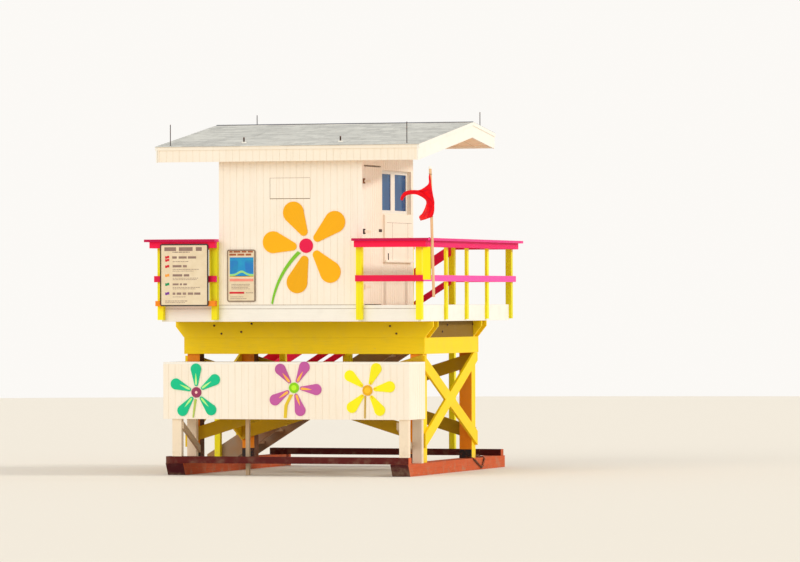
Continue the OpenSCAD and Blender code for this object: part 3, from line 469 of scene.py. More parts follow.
class Recipe(Sheet):
    """A Geometry Nodes tree. Inputs are given as name=(socket type, value)."""

    def __init__(self, name, **inputs):
        super().__init__(bpy.data.node_groups.new(name, "GeometryNodeTree"))
        self.tree.interface.new_socket("Geometry", in_out="INPUT", socket_type="NodeSocketGeometry")
        self.values = {}
        for key, (kind, value) in inputs.items():
            socket = self.tree.interface.new_socket(key, in_out="INPUT", socket_type="NodeSocket" + kind)
            self.values[socket.identifier] = value
        self.tree.interface.new_socket("Geometry", in_out="OUTPUT", socket_type="NodeSocketGeometry")
        self.source = self.tree.nodes.new("NodeGroupInput")
        self.sink = self.tree.nodes.new("NodeGroupOutput")

    def __getitem__(self, name):
        return Wire(self, self.source.outputs[name])

    def row(self):
        """Points in a row, from the inputs First, Step and Count."""
        return self.node("GeometryNodeMeshLine", {"Count": self["Count"], "Start Location": self["First"],
                                                  "Offset": self["Step"]}, mode="OFFSET")

    def grow(self, result, material, name, start=None):
        """Ends the tree, runs it on a mesh or on nothing, and returns a plain mesh object."""
        whole = self.node("GeometryNodeRealizeInstances", {0: result})
        dressed = self.node("GeometryNodeSetMaterial", {"Geometry": whole, "Material": material})
        self.feed(self.sink.inputs[0], dressed)
        if start is None:
            start = placed(name, bpy.data.meshes.new(name))
        growth = start.modifiers.new("growth", "NODES")
        growth.node_group = self.tree
        for identifier, value in self.values.items():
            growth[identifier] = value
        bpy.context.view_layer.update()
        seen = start.evaluated_get(bpy.context.evaluated_depsgraph_get())
        mesh = bpy.data.meshes.new_from_object(seen)
        start.modifiers.remove(growth)
        start.data = mesh
        start.name = name
        if not mesh.materials:
            mesh.materials.append(material)
        return start


def cut_grooves(bm, first, step, count, size, material, name):
    """Cuts a row of grooves into a solid: boards of one width with a narrow dark line between."""
    start = as_object(bm, name, material)
    r = Recipe("groove_row", First=("Vector", first), Step=("Vector", step), Count=("Int", count),
               Groove=("Vector", size))
    bar = r.node("GeometryNodeMeshCube", {"Size": r["Groove"]})
    comb = r.node("GeometryNodeRealizeInstances",
                  {0: r.node("GeometryNodeInstanceOnPoints", {"Points": r.row(), "Instance": bar})})
    cut = r.node("GeometryNodeMeshBoolean", {"Mesh 1": r["Geometry"], "Mesh 2": comb},
                 operation="DIFFERENCE", solver="EXACT")
    return r.grow(cut, material, name, start=start)


PITCH, GROOVE, DEPTH = 101.6, 7.0, 4.5


def grooved(name, faces, material, body="tower"):
    """Stands for a CAD node with grooves in faces, each (axis, place, first, count, low, high)."""
    bm = merged_copy(name)
    made = None
    for axis, place, first, count, low, high in faces:
        if made is not None:
            bm = bmesh.new()
            bm.from_mesh(made.data)
            bpy.data.objects.remove(made)
        size = (GROOVE, 2 * DEPTH, high - low) if axis == "x" else (2 * DEPTH, GROOVE, high - low)
        mid = (low + high) / 2
        spot = at(first, place, mid) if axis == "x" else at(place, first, mid)
        step = (PITCH / 1000, 0, 0) if axis == "x" else (0, PITCH / 1000, 0)
        made = cut_grooves(bm, tuple(spot), step, count, tuple(v / 1000 for v in size), material,
                           name + "_siding")
    return stands_for(mark_boards(made), name, body)


FLOOR, EAVE, FOOT = 2440, 5300, 2452
WALL_X, WALL_BACK, SIDE_FIRST = 1085, 2370, 160
LOCKER_X, LOCKER_FRONT, LOCKER_BACK = 1860, -230, 500
for wall, place in (("front_wall", 0), ("back_wall", WALL_BACK)):
    grooved(wall, [("x", place, -10 * PITCH, 21, FOOT, EAVE)], SIDING)
grooved("left_wall", [("y", -WALL_X, SIDE_FIRST, 21, FOOT, EAVE)], SIDING)
grooved("right_wall", [("y", WALL_X, SIDE_FIRST + 7 * PITCH, 14, FOOT, EAVE)], SIDING)
grooved("door_header", [("y", WALL_X, SIDE_FIRST, 7, 4434, EAVE)], SIDING)
grooved("door_leaf", [("y", WALL_X, SIDE_FIRST, 7, FLOOR, EAVE - 400)], SIDING, body="door")
grooved("locker_box", [("x", y, -18 * PITCH + 50, 36, 800, 1700) for y in (LOCKER_FRONT, LOCKER_BACK)]
        + [("y", x, -170, 7, 800, 1700) for x in (-LOCKER_X, LOCKER_X)], SIDING)
grooved("fascias", [("x", -165, -19 * PITCH, 39, 4450, 4668), ("x", 3505, -19 * PITCH, 39, 4700, 4924)],
        SIDING)
grooved("vent_hatch", [("x", -10, -2 * PITCH, 5, 3960, 4270)], SIDING)

# Boards and posts


def prism(bm, near, far):
    """Adds a closed board between two outlines with as many corners, and returns its faces."""
    near, far = [[bm.verts.new(point) for point in rim] for rim in (near, far)]
    faces = [bm.faces.new(near), bm.faces.new(far[::-1])]
    for i in range(len(near)):
        j = (i + 1) % len(near)
        faces.append(bm.faces.new((near[j], near[i], far[i], far[j])))
    return faces


def blocks(name, boxes, material, edge=0.0):
    """Square-sided strips as one piece: each box is two corners in millimetres."""
    bm = bmesh.new()
    for x0, y0, z0, x1, y1, z1 in boxes:
        size = Vector((x1 - x0, y1 - y0, z1 - z0)) / 1000
        mid = at((x0 + x1) / 2, (y0 + y1) / 2, (z0 + z1) / 2)
        bmesh.ops.create_cube(bm, size=1.0, matrix=Matrix.Translation(mid) @ Matrix.Diagonal((*size, 1)))
    if edge:
        ease(bm, edge)
    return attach(mark_boards(as_object(bm, name, material), 90), "tower")


def by_face(made, more, choose):
    """Adds paints to a piece, and gives each face the one that choose(place in mm, direction) numbers."""
    for material in more:
        made.data.materials.append(material)
    for face in made.data.polygons:
        face.material_index = choose(in_mm(face.center), face.normal)
    return made


BRACE_W, UNDER_GIRDER = 190, 1733


def side_braces(name, front_z, back_z, inset, seed):
    """Wide boards across the posts of both sides: ends cut upright, tops cut level under the girders."""
    low, high = (in_mm(corner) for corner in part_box(name))
    rise = (back_z - front_z) / (high.y - low.y)
    half = BRACE_W / 2 * math.hypot(1, rise)
    outline = [(low.y, front_z - half), (high.y, back_z - half)]
    for y, z in ((high.y, back_z + half), (low.y, front_z + half)):
        if z <= UNDER_GIRDER:
            outline.append((y, z))
        else:
            meet = low.y + (UNDER_GIRDER - half - front_z) / rise
            outline += [(y, UNDER_GIRDER), (meet, UNDER_GIRDER)] if y == high.y else [
                (meet, UNDER_GIRDER), (y, UNDER_GIRDER)]
    bm = bmesh.new()
    for outer, inner in ((high.x - inset, high.x - 38), (low.x + inset, low.x + 38)):
        prism(bm, *[[at(x, y, z) for y, z in outline] for x in (outer, inner)])
    bmesh.ops.recalc_face_normals(bm, faces=bm.faces)
    ease(bm, 0.004)
    return stands_for(mark_boards(as_object(bm, name + "_boards", YELLOW), seed), name)


timber = {name: eased(name, material, edge, seed) for name, material, edge, seed in [
    ("skids", SKID, 8, 3), ("cross_beams", RUST_RED_SHADED, 6, 4), ("main_posts", POST_ORANGE, 4, 10),
    ("cross_girders", YELLOW, 4, 11), ("side_girders", YELLOW, 4, 12), ("deck_beams", YELLOW, 4, 13),
    ("side_beams", BEAM_SHADE, 4, 14), ("end_braces", DULL_YELLOW_SHADE, 4, 17), ("deck_joists", RAW, 3, 20),
    ("end_skirts", WHITE, 4, 21), ("side_skirts", WHITE, 4, 22), ("rakes", WHITE, 4, 23),
    ("window_frames", WHITE, 3, 24), ("window_shutters", SIDING, 4, 25), ("locker_lid", WHITE, 4, 27),
    ("locker_legs", LEG_WHITE, 4, 28), ("locker_braces", RAW, 3, 29), ("prop_stake", RAW, 3, 30),
    ("rail_posts", POST_YELLOW, 5, 31), ("rail_boards", RED, 5, 32), ("cap_rails", PINK, 6, 33),
    ("stair_stringers", STAIR, 4, 34), ("stair_treads", STAIR, 4, 35), ("stair_rails", RED, 4, 36),
    ("stair_posts", POST_YELLOW, 5, 37), ("pole_bracket", POST_YELLOW, 3, 38),
    ("flag_pole", POLE, 4, 39), ("notice_batten", ORANGE, 3, 40)]}
side_braces("rising_braces", 490, 1720, 0, 15)
side_braces("falling_braces", 1606, 470, 1.5, 16)
for material, names in [
        (DARK, ["post_shoes", "roof_rods", "door_hasp", "hinge_pins", "hasp_staple"]),
        (HINGE_PAINT, ["door_straps"]), (SOFFIT, ["front_roof", "back_roof"]), (GLASS, ["window_panes"])]:
    for name in names:
        nodes[name].data.materials.clear()
        nodes[name].data.materials.append(material)

# The skids' front and left faces take the dark maroon copy as painted shade
by_face(timber["skids"], [SKID_SHADE], lambda spot, out: int(out.y < -0.5 or out.x < -0.5))
# The cross beams' right faces take the lighter skid orange as painted sunlight; the others keep the darkened
# rust red as painted shade
by_face(timber["cross_beams"], [SKID], lambda spot, out: int(out.x > 0.5))
# Painted light and shade: the posts' outer side faces take pale yellow as a sunlit side, their inner side
# faces the dark post shade
by_face(timber["main_posts"], [YELLOW, POST_SHADE], lambda spot, out: (
    1 if out.x > 0.5 and spot.x > 0 or out.x < -0.5 and spot.x < 0 else 2 if abs(out.x) > 0.5 else 0))
# The rail boards' right-facing faces take the lighter pinks as painted sunlight
by_face(timber["rail_boards"], [TOP_RAIL_LIT, MID_RAIL_LIT], lambda spot, out: (
    0 if out.x < 0.5 else 1 if spot.z > 3200 else 2))
# The caps' front faces take the darker crimson as painted shade
by_face(timber["cap_rails"], [CAP_FRONT_SHADE], lambda spot, out: int(out.y < -0.5))
by_face(nodes["hinge_pins"], [HINGE_RUST, HINGE_PAINT], lambda spot, out: (
    1 if spot.z > 4000 else 2 if spot.z < 3000 else 0))


# Fastenings and small fittings


def heads(name, places, turn, radius, length, material, sides=10):
    """Round heads or short rods, one at each place, turned from upright."""
    r = Recipe(name, Sides=("Int", sides), Radius=("Float", radius / 1000), Length=("Float", length / 1000),
               Turn=("Vector", turn))
    rod = r.node("GeometryNodeMeshCylinder", {"Vertices": r["Sides"], "Radius": r["Radius"],
                                              "Depth": r["Length"]})
    laid = r.node("GeometryNodeInstanceOnPoints", {"Points": r["Geometry"], "Instance": rod,
                                                   "Rotation": r["Turn"]})
    made = r.grow(laid, material, name, start=points_object(name, places))
    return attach(made, "tower")


def chain(name, points, pitch=32, wire=5.5, long=21, wide=13):
    """Oval links along a path, each turned a quarter against the one before."""
    start = points_object(name, points, [(i, i + 1) for i in range(len(points) - 1)])
    r = Recipe(name, Pitch=("Float", pitch / 1000), Wire=("Float", wire / 1000),
               Link=("Vector", (long / 1000, wide / 1000, 1.0)))
    path = r.node("GeometryNodeMeshToCurve", {"Mesh": r["Geometry"]})
    spots = r.tree.nodes.new("GeometryNodeCurveToPoints")
    spots.mode = "LENGTH"
    r.feed(spots.inputs["Curve"], path)
    r.feed(spots.inputs["Length"], r["Pitch"])
    loop = r.node("GeometryNodeCurvePrimitiveCircle", {"Resolution": 12, "Radius": 1.0})
    loop = r.node("GeometryNodeTransform", {"Geometry": loop, "Scale": r["Link"],
                                            "Rotation": (0.0, math.pi / 2, 0.0)})
    tube = r.node("GeometryNodeCurvePrimitiveCircle", {"Resolution": 6, "Radius": r["Wire"]})
    link = r.node("GeometryNodeCurveToMesh", {"Curve": loop, "Profile Curve": tube})
    laid = r.node("GeometryNodeInstanceOnPoints", {
        "Points": Wire(r, spots.outputs["Points"]), "Instance": link,
        "Rotation": Wire(r, spots.outputs["Rotation"])})
    quarter = (r.node("GeometryNodeInputIndex") % 2) * (math.pi / 2)
    spin = r.node("ShaderNodeCombineXYZ", {2: quarter})
    laid = r.node("GeometryNodeRotateInstances", {"Instances": laid, "Rotation": spin, "Local Space": True})
    made = r.grow(laid, CHAIN_STEEL, name, start=start)
    reshaped(made, lambda bm: bmesh.ops.recalc_face_normals(bm, faces=bm.faces))
    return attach(made, "tower")


# The roof's slopes and half its width, and the leaning pole, as the solids have them
EAVE_Y, EAVE_Z, RIDGE_Y, RIDGE_Z, BACK_Y, BACK_Z = -180, 4719.7, 2420, 5110, 3520, 4975
ROOF_HALF = 2000
POLE_X, POLE_Y, POLE_FOOT, POLE_LEAN = 2192.2, -125, 2550, 1.5
CLOTH_Y = -148.5


def roof_top(y):
    """Height of the roof's top surface in millimetres."""
    if y < RIDGE_Y:
        return EAVE_Z + (y - EAVE_Y) * (RIDGE_Z - EAVE_Z) / (RIDGE_Y - EAVE_Y)
    return RIDGE_Z - (y - RIDGE_Y) * (RIDGE_Z - BACK_Z) / (BACK_Y - RIDGE_Y)


def pole_x(z):
    """How far right the pole's axis stands at a height, in millimetres."""
    return POLE_X - (z - POLE_FOOT) * math.tan(math.radians(POLE_LEAN))


QUARTER = math.pi / 2
STUB_Y, STUBS_X = 170, (-762, 703)
beam_face = in_mm(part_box("deck_beams")[0]).y
side_face = in_mm(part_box("side_beams")[1]).x
cross_top = in_mm(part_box("cross_beams")[1]).z
pole_top = in_mm(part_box("flag_pole")[1]).z
heads("beam_bolts", [(x, beam_face - 4, z) for x, z in [
    (-1366, 2145), (-1256, 2029), (-950, 2054), (-792, 2172), (1315, 2136), (1410, 2029)]],
      (QUARTER, 0, 0), 15, 12, BOLT)
heads("side_bolts", [(side_face + 4, y, z) for y, z in [(1400, 2051), (1640, 2148), (2880, 2150)]],
      (0, QUARTER, 0), 15, 12, BOLT)
heads("beam_studs", [(x, -10, cross_top + 14) for x in (-1780, -1717, -1343)] + [
    (x, 3340, cross_top + 14) for x in (-1375, -1275, 1700, 1790)], (0, 0, 0), 8, 36, BOLT)
heads("roof_stubs", [(x, STUB_Y, roof_top(STUB_Y) + 42) for x in STUBS_X], (0, 0, 0), 12, 85, BOLT)
heads("stub_bases", [(x, STUB_Y, roof_top(STUB_Y) + 8) for x in STUBS_X], (0, 0, 0), 36, 22, WHITE,
      20)
heads("cap_bolt", [(2128, POLE_Y, 3392)], (0, 0, 0), 11, 12, BOLT)
heads("pole_tip", [(pole_x(pole_top), POLE_Y, pole_top - 14)], (0, 0, 0), 21.5, 34, WHITE, 24)

chain("skid_chain", [
    (1549, 3285, 30), (1549, 3285, 175), (1600, 3180, 190), (1790, 2900, 190), (1850, 2885, 160),
    (1850, 3075, 95), (1850, 3282, 26), (1850, 3345, 100), (1850, 3400, 165), (1790, 3400, 190),
    (1700, 3360, 190), (1640, 3320, 192), (1700, 3290, 206), (1760, 3330, 208)])

vent_low, vent_high = (in_mm(corner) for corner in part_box("vent_hatch"))
blocks("vent_gap", [
    (vent_low.x - 9, -1.2, vent_low.z - 9, vent_low.x, 0, vent_high.z),
    (vent_low.x, -1.2, vent_low.z - 9, vent_high.x, 0, vent_low.z),
    (vent_low.x - 9, -1.2, vent_high.z, vent_high.x, 0, vent_high.z + 4)], GAP_SHADE)
blocks("skirt_line", [
    (-1960, -1.2, 2386, 1960, 0, 2391), (-1080, -2.0, 2441, 1080, 0, 2446)], GAP_SHADE)
blocks("door_head_line", [(WALL_X, 92, 4431, WALL_X + 1.5, 848, 4441)], GAP_SHADE)
SHUTTER_X = 1120
blocks("shutter_lines", [
    (SHUTTER_X, y, 3090, SHUTTER_X + 1.2, y + 5, 3630) for y in (1282, 2001)] + [
    (SHUTTER_X, 1030, 3626, SHUTTER_X + 1.2, 2180, 3630)], GAP_SHADE)
blocks("shutter_hook", [(SHUTTER_X, 1070, 3060, SHUTTER_X + 10, 1082, 3185)], DARK, edge=0.002)
blocks("ridge_strip", [(-1994, 2398, 5106, 1994, 2442, 5119)], RIDGE_BLUE, edge=0.003)


# Deck planks


def planks(name, low, high, width, gap, seed):
    """Deck boards along X with narrow gaps, standing for a floor node."""
    count = int((high.y - low.y + gap) / (width + gap))
    width = (high.y - low.y + gap) / count - gap
    r = Recipe("plank_row", Count=("Int", count), First=("Vector", (
        (low.x + high.x) / 2, low.y + width / 2, (low.z + high.z) / 2)),
        Step=("Vector", (0, width + gap, 0)), Plank=("Vector", (high.x - low.x, width, high.z - low.z)),
        Seed=("Int", seed))
    plank = r.node("GeometryNodeMeshCube", {"Size": r["Plank"]})
    sag = r.node("FunctionNodeRandomValue", {2: -0.0012, 3: 0.0, "Seed": r["Seed"]}, out=1,
                 data_type="FLOAT")
    drop = r.node("ShaderNodeCombineXYZ", {2: sag})
    line = r.node("GeometryNodeSetPosition", {"Geometry": r.row(), "Offset": drop})
    laid = r.node("GeometryNodeInstanceOnPoints", {"Points": line, "Instance": plank})
    made = reshaped(r.grow(laid, RAW, name + "_planks"), lambda bm: ease(bm, 0.003))
    stands_for(mark_boards(made, seed), name)


planks("deck_floor", *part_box("deck_floor"), 0.138, 0.006, 50)
planks("landing_floor", *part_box("landing_floor"), 0.138, 0.006, 51)


# Roof shingles


def shingle_slope(name, y_eave, y_ridge, seed):
    """Courses of staggered tabs laid up one slope, each tab tipped and shaded a little by chance."""
    run = Vector((0, y_ridge - y_eave, roof_top(y_ridge) - roof_top(y_eave))) / 1000
    length, wide, exposure, tab = run.length, 3.99, 0.127, 0.305
    courses, across = int(length / exposure), int(wide / tab) + 1
    tilt = math.atan2(run.z, run.y)
    r = Recipe("shingle_courses", Courses=("Int", courses), Across=("Int", across),
               Exposure=("Float", exposure), Tab=("Float", tab), Seed=("Int", seed),
               Turn=("Vector", (tilt, 0.0, 0.0)),
               Eave=("Vector", tuple(at(0, y_eave, roof_top(y_eave) + 3))))
    size_x = r["Tab"] * (r["Across"] - 1)
    size_y = r["Exposure"] * (r["Courses"] - 1)
    grid = r.node("GeometryNodeMeshGrid", {"Size X": size_x, "Size Y": size_y,
                                           "Vertices X": r["Across"], "Vertices Y": r["Courses"]})
    place = r.node("GeometryNodeInputPosition")
    lane = ((place.axis("Y") + size_y / 2) / r["Exposure"] + 0.5).math("FLOOR")
    shift = ((lane % 2) - 0.5) * r["Tab"] * 0.5
    sideways = shift + r.node("FunctionNodeRandomValue", {2: -0.004, 3: 0.004, "Seed": r["Seed"]}, out=1)
    up = r["Exposure"] * 0.62 + size_y / 2
    moved = r.node("ShaderNodeCombineXYZ", {0: sideways, 1: up, 2: 0.0})
    points = r.node("GeometryNodeSetPosition", {"Geometry": grid, "Offset": moved})
    tab_mesh = r.node("GeometryNodeMeshCube", {"Size": (tab - 0.006, exposure * 1.35, 0.005)})
    tip = r.node("ShaderNodeCombineXYZ", {
        0: r.node("FunctionNodeRandomValue", {2: 0.022, 3: 0.032, "Seed": r["Seed"] + 1}, out=1) * -1, 1: 0.0,
        2: r.node("FunctionNodeRandomValue", {2: -0.006, 3: 0.006, "Seed": r["Seed"] + 2}, out=1)})
    laid = r.node("GeometryNodeInstanceOnPoints", {"Points": points, "Instance": tab_mesh, "Rotation": tip})
    shade = r.node("FunctionNodeRandomValue", {2: 0.0, 3: 1.0, "Seed": r["Seed"] + 3}, out=1)
    laid = r.node("GeometryNodeStoreNamedAttribute", {"Geometry": laid, "Name": "lot", "Value": shade},
                  data_type="FLOAT", domain="INSTANCE")
    laid = r.node("GeometryNodeRealizeInstances", {0: laid})
    tilted = r.node("GeometryNodeTransform", {"Geometry": laid, "Translation": r["Eave"],
                                              "Rotation": r["Turn"]})
    made = r.grow(tilted, SHINGLE, name)
    half = (ROOF_HALF - 6) / 1000

    def trim(bm):
        for vertex in bm.verts:
            vertex.co.x = min(max(vertex.co.x, ORIGIN.x - half), ORIGIN.x + half)
    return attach(reshaped(made, trim), "tower")


shingle_slope("front_shingles", -190, RIDGE_Y, 60)
shingle_slope("back_shingles", 3530, RIDGE_Y, 61)


# Cut-out flowers


def plates(name, outlines, y, thick, *materials):
    """Thin plates as one piece: each is (material number, its outline across and up), y the front face."""
    bm = bmesh.new()
    for mark, outline in outlines:
        for face in prism(bm, *[[at(x, depth, z) for x, z in outline] for depth in (y, y + thick)]):
            face.material_index = mark
    bmesh.ops.recalc_face_normals(bm, faces=bm.faces)
    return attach(as_object(bm, name, *materials), "tower")


def disc(x, z, radius, steps=28):
    return [(x + radius * math.cos(i * math.tau / steps), z + radius * math.sin(i * math.tau / steps))
            for i in range(steps)]


def streak(x, z, turn, start, end, width):
    """A brushed streak away from a flower's middle: round at its start, running out to a point."""
    half = [(t / 16, width / 2 * math.sin(math.pi * (t / 16) ** 0.5) ** 0.8) for t in range(1, 16)]
    line = [(0, 0)] + half + [(1, 0)] + [(t, -h) for t, h in reversed(half)]
    c, n = math.cos(turn), math.sin(turn)
    return [(x + (start + t * (end - start)) * c - h * n, z + (start + t * (end - start)) * n + h * c)
            for t, h in line]


def cut_outs(name, middles, looks):
    """Paints each board of a row of flowers, and returns the turn and near end of every petal.

    A board at a flower's middle is its eye, the one that reaches lowest its stem, and the rest its petals.
    """
    bm = merged_copy(name)
    ease(bm, 0.002)
    made = mark_boards(as_object(bm, name + "_boards"), 71)
    kinds = sorted({material for look in looks for material in look}, key=lambda m: m.name)
    for material in kinds:
        made.data.materials.append(material)
    mesh = made.data
    group_of = {}
    for number, group in enumerate(islands(mesh)):
        group_of.update((v, number) for v in group)
    spots = {}
    for face in mesh.polygons:
        number = group_of[face.vertices[0]]
        spots.setdefault(number, []).extend(in_mm(mesh.vertices[v].co) for v in face.vertices)
    petals, paint, home = [[] for _ in middles], {}, {}
    for number, points in spots.items():
        mid = [(min(p[i] for p in points) + max(p[i] for p in points)) / 2 for i in (0, 2)]
        home[number] = (mid, min(range(len(middles)), key=lambda k: math.dist(mid, middles[k])))
    feet = {number: min(p[2] for p in points) for number, points in spots.items()}
    stems = [min((n for n in home if home[n][1] == k), key=feet.get) for k in range(len(middles))]
    for number, points in spots.items():
        mid, flower = home[number]
        petal, eye_paint, stem = looks[flower]
        if math.dist(mid, middles[flower]) < 30:
            paint[number] = eye_paint
        elif number == stems[flower]:
            paint[number] = stem
        else:
            paint[number] = petal
            x, z = middles[flower]
            near = min(math.dist((p[0], p[2]), (x, z)) for p in points)
            petals[flower].append((math.atan2(mid[1] - z, mid[0] - x), near))
    for face in mesh.polygons:
        face.material_index = kinds.index(paint[group_of[face.vertices[0]]])
    stands_for(made, name)
    return petals


cut_outs("cabin_flower", [(241, 3290)], [(PETAL, CRIMSON_EYE, STEM_GREEN)])
small = [(-1352, 1192), (131, 1261), (1236, 1227)]
teal, violet, lemon = cut_outs("locker_flowers", small, [
    (TEAL, EYE_MAUVE, STEM_MOSS), (VIOLET, EYE_LIME, STEM_GOLD), (LEMON, EYE_AMBER, STEM_OCHRE)])
strokes = [(0, streak(*small[0], turn, near + 14, near + 190, 30)) for turn, near in teal]
strokes += [(1, streak(*small[1], turn, near + 12, near + 185, 36)) for turn, near in violet]
strokes += [(2, streak(*small[2], turn, near + 2, near + 60, 16)) for turn, near in lemon]
strokes += [(3, disc(*small[0], 20)), (4, disc(*small[1], 40)), (5, disc(*small[2], 44))]
plates("petal_strokes", strokes, -243, 1.5, LIME_STREAK, ORANGE_STREAK, AMBER_STREAK, PALE_DOT,
               LIME_HEART, AMBER_HEART)


# Notices: framed boards with plain bars where the print is


def panel(x0, x1, z0, z1):
    return [(x0, z0), (x1, z0), (x1, z1), (x0, z1)]


def moved(marks, left, foot):
    """The outlines of marks, moved from their own zero to a notice's lower left corner."""
    return [(mark, [(left + x, foot + z) for x, z in outline]) for mark, outline in marks]


def dashes(x0, x1, z0, z1, chance):
    """A line of print as plain dashes of chance lengths."""
    high = z1 - z0
    out, x = [], x0
    while x < x1 - high:
        end = min(x1, x + high * chance.uniform(1.2, 4.5))
        out.append(panel(x, end, z0, z1))
        x = end + high * chance.uniform(0.5, 0.9)
    return out


def pennant(x0, x1, z0, z1):
    """A small flying flag: two waves along its top and foot."""
    top = [(x0 + (x1 - x0) * t / 8, z1 - 5 * math.sin(t * math.tau / 8)) for t in range(9)]
    return top + [(x, z - (z1 - z0)) for x, z in reversed(top)]


notice_mesh = merged_copy("notices")
ease(notice_mesh, 0.002)
boards = as_object(notice_mesh, "notice_boards", BLACK_RIM, CARD_RIM, CREAM_FACE)
corners = []
for group in islands(boards.data):
    points = [in_mm(boards.data.vertices[v].co) for v in group]
    corners.append(tuple(min(p[i] for p in points) for i in range(3)))
corners.sort()
for face in boards.data.polygons:
    spot = in_mm(face.center)
    number = 0 if spot.x < corners[1][0] - 1 else 1
    sunk = abs(spot.y - corners[number][1] - 4) < 0.5 and face.normal.y < -0.9
    face.material_index = 2 if sunk else number
stands_for(boards, "notices")

# Lines of print: ink, left and right end, foot and top
chance = random.Random(5)
lines = [(0, 67, 640, 793, 848), (0, 193, 468, 770, 783), (0, 187, 594, 684, 717), (0, 193, 440, 636, 645),
         (0, 193, 411, 558, 591), (0, 193, 594, 525, 534), (0, 193, 520, 501, 509), (0, 193, 491, 427, 460),
         (0, 193, 583, 399, 407), (0, 193, 560, 377, 385), (0, 193, 434, 301, 328), (0, 193, 617, 266, 274),
         (0, 193, 540, 245, 253), (0, 193, 617, 164, 197), (0, 193, 400, 130, 137), (0, 78, 422, 70, 80),
         (0, 78, 380, 47, 55)]
flags = [(1, 687, 722), (1, 644, 679), (1, 554, 590), (2, 424, 462), (3, 296, 333), (4, 164, 201)]
marks = [(ink, dash) for ink, *span in lines for dash in dashes(*span, chance)]
marks += [(ink, pennant(78, 142, z0, z1)) for ink, z0, z1 in flags]
left, front, foot = corners[0]
plates("notice_print", moved(marks, left, foot), front + 3.2, 0.8, INK, SIGN_RED, SIGN_ORANGE,
               SIGN_GREEN, SIGN_PURPLE)

left, front, foot = corners[1]
marks = [(0, panel(42, 404, 366, 639)), (1, panel(42, 404, 357, 372))]
plates("card_ground", moved(marks, left, foot), front + 3.2, 0.8, SIGN_TEAL, SAND)
wave = [(42 + 362 * t / 24, 398 + 52 * math.exp(-((t - 12) / 5) ** 2)) for t in range(25)]
shore = [(x, z - 30) for x, z in reversed(wave)]
pool = [(46, 400), (150, 430), (168, 480), (174, 560), (160, 592), (46, 592)]
marks = [(0, pool), (0, [(446 - x, z + 4) for x, z in reversed(pool)]), (0, panel(42, 404, 626, 639)),
         (1, wave + shore), (2, panel(40, 401, 295, 333)), (3, panel(36, 261, 117, 145))]
lines = [(4, 36, 395, 707, 731), (4, 36, 388, 664, 693), (5, 67, 346, 248, 255), (5, 67, 346, 226, 233),
         (5, 67, 330, 204, 211), (5, 67, 346, 183, 190), (5, 285, 395, 126, 134), (5, 49, 249, 68, 75),
         (5, 49, 300, 42, 49)]
marks += [(ink, dash) for ink, *span in lines for dash in dashes(*span, chance)]
plates("card_print", moved(marks, left, foot), front + 2.6, 0.8, SIGN_BLUE, SURF, SALMON_BAR,
               SIGN_RED, BROWN_PRINT, INK)


# Flag: a tailed cloth tied to the pole by the ends of its hoist


def along(points):
    """A curve by length through points: a function of 0 to 1."""
    points = [Vector(p) for p in points]
    steps = [0.0]
    for a, b in zip(points, points[1:]):
        steps.append(steps[-1] + (b - a).length)

    def spot(t):
        t *= steps[-1]
        i = max(i for i in range(len(steps) - 1) if steps[i] <= t or i == 0)
        i = min(i, len(points) - 2)
        f = min(1.0, (t - steps[i]) / (steps[i + 1] - steps[i]))
        before, after = points[max(i - 1, 0)], points[min(i + 2, len(points) - 1)]
        a, b = points[i], points[i + 1]
        pull_a, pull_b = (b - before) / 2, (after - a) / 2
        return (a * (2 * f ** 3 - 3 * f ** 2 + 1) + pull_a * (f ** 3 - 2 * f ** 2 + f)
                + b * (3 * f ** 2 - 2 * f ** 3) + pull_b * (f ** 3 - f ** 2))
    return spot


hoist = along([(2, 4300), (12, 4225), (18, 4141), (40, 3985), (54, 3829), (42, 3735), (14, 3684)])
head_edge = along([(2, 4300), (-19, 4262), (-24, 4160), (-99, 4098), (-175, 4067), (-294, 4069), (-384, 4042),
                   (-432, 3990), (-453, 3935)])
fly = along([(-453, 3935), (-417, 3922), (-386, 3971), (-325, 4002), (-221, 4006), (-148, 3978), (-90, 3942),
             (-63, 3900), (-76, 3838), (-130, 3740), (-177, 3694), (-157, 3637)])
foot_edge = along([(14, 3684), (-90, 3651), (-157, 3637)])


def cloth_point(u, v):
    """u runs down the hoist and v out along the fly. The folds leave the outline as the photo has it."""
    corner = [(2, 4300), (-453, 3935), (14, 3684), (-157, 3637)]
    a, b, c, d = (Vector(p) for p in corner)
    flat = ((1 - v) * hoist(u) + v * fly(u) + (1 - u) * head_edge(v) + u * foot_edge(v)
            - (1 - u) * (1 - v) * a - (1 - u) * v * b - u * (1 - v) * c - u * v * d)
    out = max(0.0, (v - 0.25) / 0.75)
    flutter = 26 * v ** 0.8 * (1 - math.cos(math.tau * (1.5 * v + 0.5 * u)))
    crease = 5 * v * (1 - math.cos(math.tau * (5 * v + 1.3 * u))) + 4 * math.sin(math.pi * u) * v
    tail = 250 * out ** 1.2 * max(0.0, (u - 0.45) / 0.55) ** 1.1
    past_pole = min(1.0, max(0.0, (-28 - flat.x) / 60))
    away = tail * past_pole - (flutter + crease) * (1 - 0.6 * u)
    return at(pole_x(flat.y) + flat.x - 0.325 * away, CLOTH_Y + away, flat.y)


